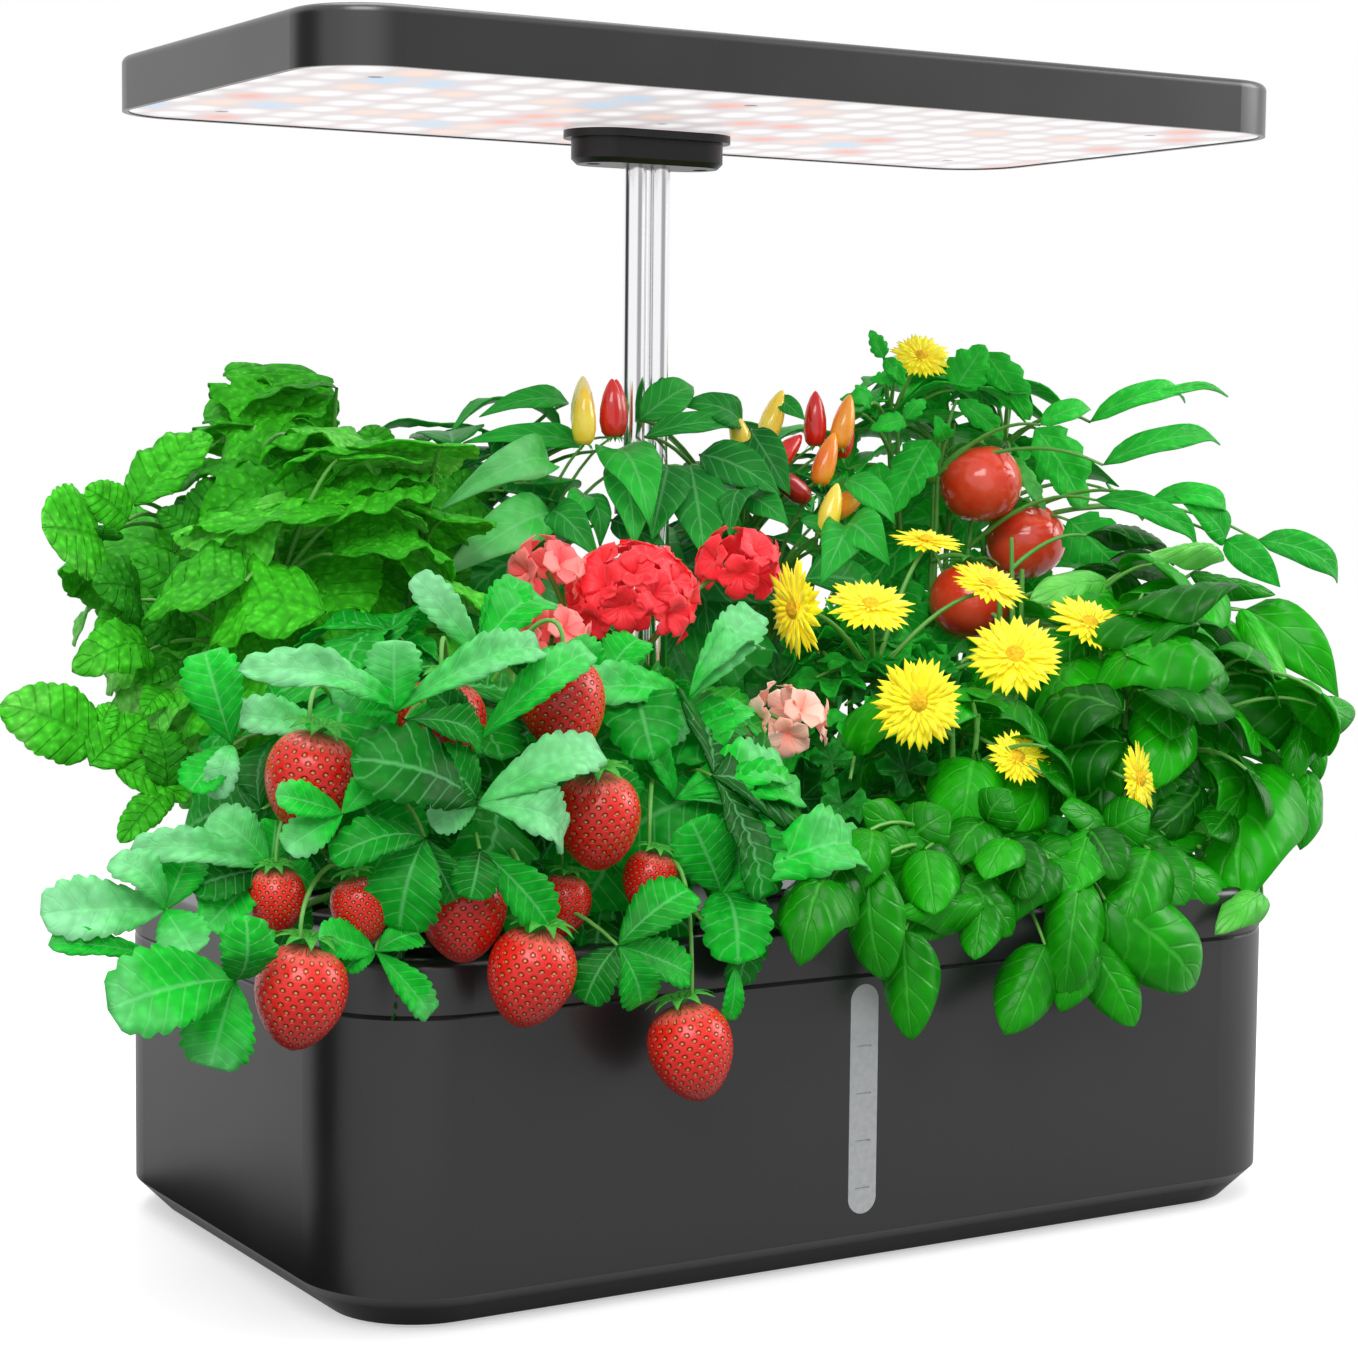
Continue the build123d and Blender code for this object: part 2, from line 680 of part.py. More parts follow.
# ================================================================ circulation pump under the deck
volute_top = pump_base + volute_height
well_top = volute_top + rotor_well
with BuildPart() as pump_housing:
    with BuildSketch(Plane.XY.offset(pump_base)):
        with Locations((0, pump_y)):
            RectangleRounded(pump_length, pump_width, pump_corner)
    extrude(amount=pump_height)
    with BuildSketch(Plane.XY.offset(pump_top)):
        with Locations((0, pump_y)):
            SlotCenterToCenter(2 * hanger_x, 2 * hanger_ear_radius)
    extrude(amount=-hanger_ear_thickness)
    with BuildSketch(Plane.XY.offset(pump_base)):
        with Locations((0, pump_y)):
            Circle(volute_radius)
    extrude(amount=volute_height, mode=Mode.SUBTRACT)
    with BuildSketch(Plane.XY.offset(pump_base + channel_floor)):
        with Locations((riser_x, pump_y)):
            Circle(riser_bore)
    extrude(amount=pump_height, mode=Mode.SUBTRACT)
    with BuildSketch(Plane.XY.offset(pump_base + channel_floor)):
        with Locations((riser_x * 0.75, pump_y)):
            Rectangle(riser_x / 2, volute_channel)
    extrude(amount=volute_height - 2 * channel_floor, mode=Mode.SUBTRACT)
    with BuildSketch(Plane.XY.offset(pump_top)):
        with Locations((riser_x, pump_y)):
            Circle(riser_radius + riser_fit)
    extrude(amount=-riser_seat, mode=Mode.SUBTRACT)
    with BuildSketch(Plane.XY.offset(volute_top)):
        with Locations((0, pump_y)):
            Circle(rotor_radius + rotor_gap)
    extrude(amount=rotor_well, mode=Mode.SUBTRACT)
    with BuildSketch(Plane.XY.offset(well_top)):
        with Locations((0, pump_y)):
            Circle(shaft_radius + shaft_fit)
    extrude(amount=2, mode=Mode.SUBTRACT)
    with BuildSketch(Plane.XY.offset(pump_top)):
        with Locations((-hanger_x, pump_y), (hanger_x, pump_y)):
            Circle(screw_shank_radius + screw_fit)
    extrude(amount=-hanger_ear_thickness, mode=Mode.SUBTRACT)
save(pump_housing.part, "pump_housing")

with BuildPart() as pump_screws:
    ear_base = pump_top - hanger_ear_thickness
    with BuildSketch(Plane.XY.offset(ear_base)):
        with Locations((-hanger_x, pump_y), (hanger_x, pump_y)):
            Circle(screw_head_radius)
    extrude(amount=-screw_head_height)
    with BuildSketch(Plane.XY.offset(ear_base)):
        with Locations((-hanger_x, pump_y), (hanger_x, pump_y)):
            Circle(screw_shank_radius)
    extrude(amount=hanger_ear_thickness + screw_bite - 1)
save(pump_screws.part, "pump_screws")

cover_base = pump_base - pump_cover_thickness
with BuildPart() as pump_cover:
    with BuildSketch(Plane.XY.offset(cover_base)):
        with Locations((0, pump_y)):
            RectangleRounded(pump_length, pump_width, pump_corner)
            with PolarLocations(inlet_ring, inlet_count):
                Circle(inlet_radius, mode=Mode.SUBTRACT)
    extrude(amount=pump_cover_thickness)
    with BuildSketch(Plane.XY.offset(pump_base)):
        with Locations((0, pump_y)):
            Circle(shaft_radius + shaft_fit)
    extrude(amount=-pump_cover_thickness / 2, mode=Mode.SUBTRACT)
save(pump_cover.part, "pump_cover")

with BuildPart() as inlet_filter:
    with BuildSketch(Plane.XY.offset(cover_base)):
        with Locations((0, pump_y)):
            RectangleRounded(
                pump_length - 2 * filter_margin, pump_width - 2 * filter_margin, pump_corner - filter_margin
            )
    extrude(amount=-filter_thickness)
save(inlet_filter.part, "inlet_filter")

shaft_base = pump_base - pump_cover_thickness / 2 + 0.2
shaft_top = well_top + 2 - 0.2
disc_base = volute_top - impeller_disc - 0.5
blade_base = pump_base + 1
with BuildPart() as impeller:
    with BuildSketch(Plane.XY.offset(shaft_base)):
        with Locations((0, pump_y)):
            Circle(shaft_radius)
    extrude(amount=shaft_top - shaft_base)
    with BuildSketch(Plane.XY.offset(disc_base)):
        with Locations((0, pump_y)):
            Circle(impeller_radius)
    extrude(amount=impeller_disc)
    with BuildSketch(Plane.XY.offset(disc_base + impeller_disc)):
        with Locations((0, pump_y)):
            Circle(rotor_radius)
    extrude(amount=well_top - disc_base - impeller_disc - 0.5)
    with BuildSketch(Plane.XY.offset(blade_base)):
        with Locations((0, pump_y)):
            with PolarLocations(impeller_radius / 2, blade_count):
                Rectangle(impeller_radius, blade_thickness)
    extrude(amount=disc_base - blade_base)
save(impeller.part, "impeller")

nozzle_base = deck_underside - nozzle_height
with BuildPart() as riser_tube:
    with BuildSketch(Plane.XY.offset(pump_top - riser_seat)):
        with Locations((riser_x, pump_y)):
            Circle(riser_radius)
            Circle(riser_bore, mode=Mode.SUBTRACT)
    extrude(amount=nozzle_base + riser_seat - pump_top + riser_seat)
save(riser_tube.part, "riser_tube")

with BuildPart() as outlet_nozzle:
    with BuildSketch(Plane.XY.offset(nozzle_base)):
        with Locations((riser_x, pump_y)):
            Circle(nozzle_radius)
    extrude(amount=nozzle_height)
    with BuildSketch(Plane.XY.offset(nozzle_base)):
        with Locations((riser_x, pump_y)):
            Circle(riser_radius + riser_fit)
    extrude(amount=riser_seat, mode=Mode.SUBTRACT)
    with BuildSketch(Plane.XY.offset(nozzle_base + riser_seat)):
        with Locations((riser_x, pump_y)):
            Circle(nozzle_chamber)
    extrude(amount=nozzle_height - riser_seat - 1.5, mode=Mode.SUBTRACT)
    for turn in (0, 90):
        port_plane = Plane.XZ.rotated((0, 0, turn))
        port_plane.origin = Vector(riser_x, pump_y, nozzle_base + riser_seat + nozzle_port + 1)
        with BuildSketch(port_plane.offset(-nozzle_radius)):
            Circle(nozzle_port)
        extrude(amount=2 * nozzle_radius, mode=Mode.SUBTRACT)
save(outlet_nozzle.part, "outlet_nozzle")

with BuildPart() as pump_lead:
    with BuildSketch(Plane.XY.offset(pump_top)):
        with Locations((lead_x, lead_y)):
            Circle(lead_radius)
    extrude(amount=board_base - pump_top)
save(pump_lead.part, "pump_lead")

# ================================================================ lamp
bracket_screw_places = ((-bracket_screw_x, mast_y), (bracket_screw_x, mast_y))
lamp_fixings = [*lamp_screw_points, *bracket_screw_places]
inner_ceiling = lamp_top - lamp_wall
with BuildPart() as lamp_housing:
    with BuildSketch(Plane.XY.offset(lamp_underside)):
        with Locations((0, lamp_y)):
            RectangleRounded(lamp_length, lamp_width, lamp_corner)
    extrude(amount=lamp_thickness)
    fillet(lamp_housing.edges().group_by(Axis.Z)[-1], radius=lamp_top_round)
    offset(amount=-lamp_wall, openings=lamp_housing.faces().sort_by(Axis.Z)[0])
    with BuildSketch(Plane.XY.offset(led_board_top)):
        with Locations(*lamp_fixings):
            Circle(lamp_post_radius)
    extrude(amount=inner_ceiling + lamp_wall / 2 - led_board_top)
    with BuildSketch(Plane.XY.offset(led_board_top)):
        with Locations(*lamp_fixings):
            Circle(screw_shank_radius + screw_fit)
    extrude(amount=board_gap_above, mode=Mode.SUBTRACT)
save(lamp_housing.part, "lamp_housing")

diffuser_inset = lamp_wall + diffuser_clearance
with BuildPart() as lamp_diffuser:
    with BuildSketch(Plane.XY.offset(diffuser_base)):
        with Locations((0, lamp_y)):
            RectangleRounded(
                lamp_length - 2 * diffuser_inset, lamp_width - 2 * diffuser_inset, lamp_corner - diffuser_inset
            )
    extrude(amount=diffuser_thickness)
    with BuildSketch(Plane.XY.offset(diffuser_top)):
        with Locations(*lamp_fixings):
            Circle(diffuser_post_radius)
    extrude(amount=led_board_base - diffuser_top)
    with BuildSketch(Plane.XY.offset(diffuser_base)):
        with Locations(*lamp_fixings):
            Circle(screw_shank_radius + screw_fit)
    extrude(amount=led_board_base - diffuser_base, mode=Mode.SUBTRACT)
    with BuildSketch(Plane.XY.offset(diffuser_base)):
        with Locations(*lamp_screw_points):
            Circle(screw_head_radius + screw_fit)
    extrude(amount=diffuser_thickness, mode=Mode.SUBTRACT)
save(lamp_diffuser.part, "lamp_diffuser")

board_inset = lamp_wall + led_board_margin
with BuildPart() as led_board:
    with BuildSketch(Plane.XY.offset(led_board_base)):
        with Locations((0, lamp_y)):
            RectangleRounded(lamp_length - 2 * board_inset, lamp_width - 2 * board_inset, led_board_corner)
        with Locations(*lamp_fixings):
            Circle(screw_shank_radius + screw_fit, mode=Mode.SUBTRACT)
    extrude(amount=led_board_thickness)
save(led_board.part, "led_board")


def clear_of_fixings(x, y):
    """True where an LED at this place misses every diffuser post."""
    reach = diffuser_post_radius + led_side
    return all((x - px) ** 2 + (y - py) ** 2 > reach**2 for px, py in lamp_fixings)


led_places = [
    ((column - (led_columns - 1) / 2) * led_pitch_x, lamp_y + (row - (led_rows - 1) / 2) * led_pitch_y)
    for column in range(led_columns)
    for row in range(led_rows)
]
with BuildPart() as leds:
    with BuildSketch(Plane.XY.offset(led_board_base)):
        with Locations(*[place for place in led_places if clear_of_fixings(*place)]):
            Rectangle(led_side, led_side)
    extrude(amount=-led_height)
save(leds.part, "leds")

with BuildPart() as lamp_bracket:
    with BuildSketch(Plane.XY.offset(bracket_base)):
        with Locations((0, mast_y)):
            SlotOverall(bracket_length - 2 * bracket_step, bracket_width - 2 * bracket_step)
    extrude(amount=bracket_body_height)
    chamfer(lamp_bracket.edges().group_by(Axis.Z)[0], length=bracket_bevel)
    with BuildSketch(Plane.XY.offset(bracket_base + bracket_body_height)):
        with Locations((0, mast_y)):
            SlotOverall(bracket_length, bracket_width)
    extrude(amount=bracket_lip)
    with BuildSketch(Plane.XY.offset(bracket_base)):
        with Locations(*tube_places):
            Circle(rod_radius + sleeve_fit)
    extrude(amount=rod_seat_depth, mode=Mode.SUBTRACT)
    with BuildSketch(Plane.XY.offset(bracket_base)):
        with Locations(*bracket_screw_places):
            Circle(screw_shank_radius + screw_fit)
    extrude(amount=bracket_body_height + bracket_lip, mode=Mode.SUBTRACT)
    with BuildSketch(Plane.XY.offset(bracket_base)):
        with Locations(*bracket_screw_places):
            Circle(screw_head_radius + screw_fit)
    extrude(amount=bracket_screw_recess, mode=Mode.SUBTRACT)
save(lamp_bracket.part, "lamp_bracket")

screw_tip = led_board_top + board_gap_above - 0.5
bracket_head = bracket_base + bracket_screw_recess
with BuildPart() as lamp_screws:
    with BuildSketch(Plane.XY.offset(diffuser_top)):
        with Locations(*lamp_screw_points):
            Circle(screw_head_radius)
    extrude(amount=-lamp_screw_head)
    with BuildSketch(Plane.XY.offset(diffuser_top)):
        with Locations(*lamp_screw_points):
            Circle(screw_shank_radius)
    extrude(amount=screw_tip - diffuser_top)
    with BuildSketch(Plane.XY.offset(bracket_head)):
        with Locations(*bracket_screw_places):
            Circle(screw_head_radius)
    extrude(amount=-screw_head_height)
    with BuildSketch(Plane.XY.offset(bracket_head)):
        with Locations(*bracket_screw_places):
            Circle(screw_shank_radius)
    extrude(amount=screw_tip - bracket_head)
save(lamp_screws.part, "lamp_screws")

# ================================================================ plants
# Each plant has an upright stem in its pod and leaves whose tips lie on a dome round it. A dome is
# wider on the sides where the plant has room, and a leaf that would meet a fruit, the mast, the
# console, the lid or the hatch as it opens is left out.
left_outer, left_inner, right_inner, right_outer = pod_columns
front_row, middle_row, back_row = pod_rows
leaf_floor = rim_top + leaf_lid_gap
roll_floor = rim_top + leaf_level_height
hatch_swing_top = deck_top + hatch_width + leaf_hatch_gap


def segment_gap(point, start, end):
    """Distance from a point to the line from start to end."""
    along = end - start
    share = 0 if along.length < 1e-6 else (point - start).dot(along) / along.length**2
    return (point - start - along * min(max(share, 0), 1)).length


def leaf_is_clear(start, tip, half_width, obstacles):
    """True where the leaf from start to tip misses the obstacles, the lid and what stands on it."""
    for step in range(leaf_steps_skipped, leaf_steps + 1):
        point = start + (tip - start) * (step / leaf_steps)
        over_length = abs(point.X) < tank_length / 2 + leaf_lid_margin
        over_lid = over_length and abs(point.Y) < tank_width / 2 + leaf_lid_margin
        if over_lid and point.Z < leaf_floor:
            return False
        beside_hatch = abs(point.X) < hatch_length / 2 + leaf_hatch_margin
        over_hatch = beside_hatch and abs(point.Y - hatch_y) < hatch_width
        if over_hatch and point.Z < hatch_swing_top:
            return False
        if any(segment_gap(point, a, b) < radius + half_width for a, b, radius in obstacles):
            return False
    return True


def leaf_plane(start, end, roll=0.0):
    """A plane at start whose X runs to end. Its Y lies level, or is rolled round X by this angle."""
    along = (end - start).normalized()
    level = Vector(0, 0, 1).cross(along)
    level = level.normalized() if level.length > 1e-3 else Vector(0, 1, 0)
    above = along.cross(level)
    normal = above * cos(roll) + level * sin(roll)
    return Plane(origin=start, x_dir=along, z_dir=normal).offset(-leaf_thickness / 2)


def hanging_plane(start, end):
    """A plane at start whose X runs to end and whose Y stays at one distance from the tank's front."""
    along = (end - start).normalized()
    side = Vector(along.Z, 0, -along.X).normalized()
    return Plane(origin=start, x_dir=along, z_dir=along.cross(side)).offset(-leaf_thickness / 2)


def leaf_points(reach, blade_length, blade_width):
    """Outline of a leaf on its stalk: a narrow strip from the stem, then a pointed blade to the tip."""
    half = leaf_stalk_width / 2
    foot = max(reach - blade_length, 0)
    edge = [(foot, half), (foot + blade_shoulder * (reach - foot), blade_width / 2)]
    if foot > 0:
        edge.insert(0, (0, half))
    return [(x, -y) for x, y in edge] + [(reach, 0)] + edge[::-1]


def dome_tips(pod, reach, heights, count):
    """Leaf tips on a dome. reach is left, right, front, back; heights are lowest, widest, top."""
    left, right, front, back = reach
    low, middle, top = heights
    tips = []
    for number in range(count):
        climb = -1 + 2 * (number + 0.5) / count
        ring = sqrt(1 - climb**2) * (inner_dome if number % 3 == 1 else 1)
        turn = number * golden_angle
        across = ring * cos(turn) * (right if cos(turn) > 0 else left)
        deep = ring * sin(turn) * (back if sin(turn) > 0 else front)
        height = middle + climb * (top - middle if climb > 0 else middle - low)
        tips.append(Vector(pod[0] + across, pod[1] + deep, height))
    return tips


def stem_point(pod, tip, top):
    """Where on the stem the stalk of the leaf with this tip starts."""
    reach = sqrt((tip.X - pod[0]) ** 2 + (tip.Y - pod[1]) ** 2)
    return Vector(pod[0], pod[1], min(max(tip.Z - reach * leaf_rise, leaf_floor), top))


# fruit and flowers: the middle of each. A berry also has its size, as a share of a full one, and a
# pepper the way that it leans.
berry_radius = 13.5
berry_length = 34.0
berries = [
    (Vector(-230, -140, 123), 1.0),
    (Vector(-151, -140, 122), 1.0),
    (Vector(-91, -140, 92), 1.0),
    (Vector(-219, -122, 186), 1.0),
    (Vector(-118, -124, 168), 1.0),
    (Vector(-130, -122, 206), 1.0),
    (Vector(-168, -126, 142), 1.0),
    (Vector(-172, -118, 200), 1.0),
    (Vector(-207, -134, 147), 0.65),
    (Vector(-231, -124, 150), 0.65),
    (Vector(-124, -112, 139), 0.65),
    (Vector(-96, -120, 146), 0.65),
]
tomato_radius = 17.5
tomatoes = [Vector(161, 46, 274), Vector(192, 55, 249), Vector(151, 38, 225)]
pepper_radius = 4.5
pepper_length = 22.0
upright = Vector(0, 0, 1)
peppers = [
    (Vector(-43, 22, 300), upright),
    (Vector(-38, 32, 304), upright),
    (Vector(-31, 22, 303), upright),
    (Vector(-24, 31, 303), upright),
    (Vector(37, 38, 292), Vector(-0.4, 0, 1)),
    (Vector(56, 44, 301), Vector(0.4, 0, 1)),
    (Vector(56, 36, 286), Vector(1, 0, 0.9)),
    (Vector(72, 38, 300), upright),
    (Vector(82, 32, 299), Vector(0.25, 0, 1)),
    (Vector(88, 41, 295), Vector(0.15, 0, 1)),
    (Vector(71, 28, 284), Vector(0.35, 0, 1)),
    (Vector(52, 26, 274), Vector(-0.9, 0, 0.6)),
    (Vector(64, 14, 264), Vector(0.3, 0, 1)),
    (Vector(82, 28, 267), Vector(1, 0, 0.6)),
]
daisy_radius = 15.0
daisy_height = 5.0
daisies = [
    Vector(10, -46, 230),
    Vector(38, -52, 230),
    Vector(86, -20, 252),
    Vector(100, -42, 236),
    Vector(92, -70, 211),
    Vector(130, -66, 222),
    Vector(32, -92, 198),
    Vector(74, -96, 176),
    Vector(124, -104, 167),
    Vector(139, 60, 326),
]
geranium_heads = [
    (Vector(-48, -24, 233), 24.0),
    (Vector(0, -20, 244), 14.0),
    (Vector(-81, -20, 243), 10.5),
    (Vector(-87, -35, 221), 10.5),
    (Vector(-8, -66, 190), 13.0),
]

mast_obstacle = (Vector(0, mast_y, deck_top), Vector(0, mast_y, lamp_underside - lamp_drop), tower_width)
console_obstacle = (Vector(-button_x, mast_y, console_top), Vector(button_x, mast_y, console_top), console_reach)
fixed_obstacles = [mast_obstacle, console_obstacle]
fruit_obstacles = [(place, place, berry_radius * size + berry_gap) for place, size in berries]
fruit_obstacles += [(place, place, tomato_radius + fruit_gap) for place in tomatoes]
fruit_obstacles += [(place, place, pepper_length / 2 + fruit_gap) for place, _ in peppers]
fruit_obstacles += [(place, place, daisy_radius + fruit_gap) for place in daisies]
fruit_obstacles += [(place, place, radius + fruit_gap) for place, radius in geranium_heads]


def stalk_from(pod, height, *knees):
    """Route of a stalk: from the plant's stem at this height through its knees."""
    return (Vector(pod[0], pod[1], height), *knees)


def berry_stalk(place, size):
    """Out from the stem over the lid's rim, then straight down to the berry."""
    pod = (left_outer if place.X < (left_outer + left_inner) / 2 else left_inner, front_row)
    neck = Vector(place.X, place.Y, place.Z + berry_length * size / 2 + soft_gap)
    bend = Vector(place.X, place.Y, max(neck.Z + 6, rim_top + 12))
    return stalk_from(pod, max(leaf_floor + 10, place.Z - 10), bend, neck)


def upright_stalk(pod, place, depth, axis=upright):
    """Out from the stem to a knee under the foot of a fruit or flower head, then straight up to it."""
    seat = place - axis.normalized() * (depth + soft_gap)
    return stalk_from(pod, seat.Z - 30, seat - axis.normalized() * 8, seat)


def tomato_stalk(place):
    """Out from the stem to a knee above the tomato, then straight down to it."""
    seat = place + Vector(0, 0, tomato_radius + soft_gap)
    return stalk_from(tomato_pod, seat.Z - 2, seat + Vector(0, 0, 4), seat)


def daisy_stalk(pod, place):
    """Straight from the stem to the back of the flower."""
    start = Vector(pod[0], pod[1], max(leaf_floor, place.Z - 60))
    towards = (place - start).normalized()
    return start, place - towards * (daisy_height / 2 + soft_gap)


def route_obstacles(routes):
    """The runs of these stalks, as obstacles for leaves."""
    return [(a, b, fruit_stalk) for route in routes for a, b in zip(route, route[1:])]


def grow_plant(pod, tips, blade, obstacles, stalks=(), hangers=()):
    """One plant as one solid: its stem, the leaves whose way is clear, and the stalks of its fruit.
    hangers are leaves that hang outside the tank, each a foot and a tip."""
    blade_length, blade_width = blade
    stem_limit = max(tip.Z for tip in tips) - blade_length / 2
    starts = [Vector(pod[0], pod[1], leaf_floor)]
    with BuildPart() as plant:
        for number, tip in enumerate(tips):
            start = stem_point(pod, tip, stem_limit)
            if leaf_is_clear(start, tip, blade_width / 2, obstacles):
                starts.append(start)
                roll = 0.0 if tip.Z < roll_floor else leaf_roll * (-1) ** number
                with BuildSketch(leaf_plane(start, tip, roll)):
                    Polygon(*leaf_points((tip - start).length, blade_length, blade_width), align=None)
        extrude(amount=leaf_thickness)
        for foot, tip in hangers:
            if leaf_is_clear(foot, tip, hanging_width / 4, obstacles):
                with BuildSketch(hanging_plane(foot, tip)):
                    Polygon(*leaf_points((tip - foot).length, blade_length, hanging_width), align=None)
                extrude(amount=leaf_thickness)
                stalks = [*stalks, stalk_from(pod, leaf_floor + 14, foot)]
        for route in stalks:
            starts.append(route[0])
            with BuildLine() as path:
                Polyline(*route)
            with BuildSketch(Plane(origin=route[0], z_dir=route[1] - route[0])):
                Rectangle(fruit_stalk, fruit_stalk)
            sweep(path=path.line, transition=Transition.RIGHT)
        with BuildSketch(Plane.XY.offset(deck_top)):
            with Locations(pod):
                RegularPolygon(stem_radius, 6)
        extrude(amount=max(start.Z for start in starts) + stem_radius - deck_top)
    return plant.part


vine_height = 300.0  # a daisy higher than this stands on the tall plant behind
tomato_pod = (right_outer, back_row)
daisy_pod = (right_inner, middle_row)
geranium_pod = (left_inner, middle_row)
pepper_pods = ((left_inner, back_row), (right_inner, back_row))

berry_routes = [berry_stalk(place, size) for place, size in berries]
tomato_routes = [tomato_stalk(place) for place in tomatoes]
pepper_routes = [
    upright_stalk(pepper_pods[place.X > 0], place, pepper_length / 2, axis) for place, axis in peppers
]
daisy_routes = [daisy_stalk(tomato_pod if place.Z > vine_height else daisy_pod, place) for place in daisies]
geranium_routes = [upright_stalk(geranium_pod, place, radius / 2) for place, radius in geranium_heads]
all_routes = berry_routes + tomato_routes + pepper_routes + daisy_routes + geranium_routes


def obstacles_beside(own_routes):
    """Everything that a plant's leaves keep clear of, but for its own stalks."""
    others = [route for route in all_routes if route not in own_routes]
    return fixed_obstacles + fruit_obstacles + route_obstacles(others)


def routes_of(routes, pod):
    """The stalks that start on the stem in this pod."""
    return [route for route in routes if (route[0].X, route[0].Y) == pod]


# which plant grows in which pod: (pod, reach left-right-front-back, lowest-widest-top heights)
species = {
    "lemon_balm_plants": [
        ((left_outer, back_row), (108, 36, 30, 55), (150, 215, 300)),
        ((left_outer, middle_row), (126, 36, 30, 30), (145, 200, 286)),
    ],
    "strawberry_plants": [
        ((left_outer, front_row), (146, 36, 62, 30), (128, 165, 236)),
        ((left_inner, front_row), (38, 40, 62, 30), (132, 170, 236)),
    ],
    "geranium_plant": [((left_inner, middle_row), (38, 60, 30, 30), (135, 175, 214))],
    "pepper_plants": [
        ((left_inner, back_row), (44, 42, 30, 55), (150, 225, 302)),
        ((right_inner, back_row), (44, 38, 30, 55), (150, 225, 300)),
    ],
    "daisy_plant": [((right_inner, middle_row), (60, 38, 30, 30), (135, 180, 218))],
    "tomato_plant": [((right_outer, back_row), (38, 148, 28, 55), (210, 296, 338))],
    "basil_plants": [
        ((right_outer, middle_row), (38, 148, 30, 30), (140, 205, 262)),
        ((right_outer, front_row), (38, 142, 62, 30), (128, 170, 226)),
        ((right_inner, front_row), (44, 38, 62, 30), (132, 160, 196)),
    ],
}
blades = {
    "lemon_balm_plants": (42, 34),
    "strawberry_plants": (58, 50),
    "geranium_plant": (36, 36),
    "pepper_plants": (60, 30),
    "daisy_plant": (44, 22),
    "tomato_plant": (58, 26),
    "basil_plants": (56, 40),
}
leaf_counts = {
    "lemon_balm_plants": 44,
    "strawberry_plants": 40,
    "geranium_plant": 24,
    "pepper_plants": 36,
    "daisy_plant": 26,
    "tomato_plant": 36,
    "basil_plants": 42,
}
stalk_routes = {
    "strawberry_plants": berry_routes,
    "geranium_plant": geranium_routes,
    "pepper_plants": pepper_routes,
    "daisy_plant": daisy_routes,
    "tomato_plant": tomato_routes + daisy_routes,
}
# leaves that hang over the rim in front of the tank: the foot and the tip of each
hanging_leaves = {
    "strawberry_plants": {
        (left_outer, front_row): [
            (Vector(-247, -128, 132), Vector(-290, -136, 125)),
            (Vector(-252, -130, 130), Vector(-268, -146, 105)),
            (Vector(-203, -126, 134), Vector(-182, -132, 111)),
        ],
        (left_inner, front_row): [
            (Vector(-114, -126, 131), Vector(-88, -134, 119)),
            (Vector(-70, -122, 138), Vector(-66, -136, 117)),
        ],
    },
    "basil_plants": {
        (right_inner, front_row): [
            (Vector(-4, -122, 136), Vector(-40, -130, 115)),
            (Vector(6, -124, 132), Vector(3, -136, 86)),
            (Vector(58, -122, 130), Vector(44, -134, 84)),
        ],
        (right_outer, front_row): [
            (Vector(84, -122, 134), Vector(70, -136, 95)),
            (Vector(98, -122, 130), Vector(103, -134, 82)),
            (Vector(112, -122, 136), Vector(140, -136, 96)),
        ],
    },
}
for plant_name, stands in species.items():
    own_routes = [
        route for pod, _, _ in stands for route in routes_of(stalk_routes.get(plant_name, []), pod)
    ]
    obstacles = obstacles_beside(own_routes)
    with BuildPart() as plants:
        for pod, reach, heights in stands:
            tips = dome_tips(pod, reach, heights, leaf_counts[plant_name])
            leaves = hanging_leaves.get(plant_name, {}).get(pod, ())
            stalks = routes_of(own_routes, pod)
            add(grow_plant(pod, tips, blades[plant_name], obstacles, stalks, leaves))
    save(plants.part, plant_name)


# ---------------------------------------------------------------- fruit and flowers
def faceted_fruit(sides, levels):
    """A body of tapered bands. levels are (height, radius) pairs from the bottom to the top."""
    with BuildPart() as fruit:
        for (low, low_radius), (high, high_radius) in zip(levels, levels[1:]):
            lean = atan2((low_radius - high_radius) * cos(pi / sides), high - low) * 180 / pi
            with BuildSketch(Plane.XY.offset(low)):
                RegularPolygon(low_radius, sides)
            extrude(amount=high - low, taper=lean)
    return fruit.part


def berry_form(size):
    """A berry of this size, its point down."""
    length = berry_length * size
    radius = berry_radius * size
    point = (-length / 2, radius * 0.22)
    taper = (-length * 0.3, radius * 0.62)
    widest = (length * 0.2, radius)
    shoulder = (length / 2, radius / 2)
    return faceted_fruit(10, (point, taper, widest, shoulder))


with BuildPart() as strawberries:
    for place, size in berries:
        with Locations(place):
            add(berry_form(size))
save(strawberries.part, "strawberries")

tomato_form = faceted_fruit(
    14,
    [(tomato_radius * sin(lift), tomato_radius * cos(lift)) for lift in (-1.35, -0.8, -0.3, 0.3, 0.8, 1.35)],
)
with BuildPart() as tomato_fruit:
    with Locations(*tomatoes):
        add(tomato_form)
save(tomato_fruit.part, "tomatoes")

pepper_levels = (
    (-pepper_length / 2, pepper_radius),
    (0, pepper_radius * 0.9),
    (pepper_length / 2, pepper_radius / 5),
)
pepper_form = faceted_fruit(8, pepper_levels)
with BuildPart() as pepper_fruit:
    with Locations(*[Plane(origin=place, z_dir=axis) for place, axis in peppers]):
        add(pepper_form)
save(pepper_fruit.part, "peppers")

with BuildPart() as daisy_flowers:
    for place, route in zip(daisies, daisy_routes):
        with BuildSketch(Plane(origin=place, z_dir=place - route[0]).offset(-daisy_height / 2)):
            RegularPolygon(daisy_radius, 14)
        extrude(amount=daisy_height)
save(daisy_flowers.part, "daisy_flowers")

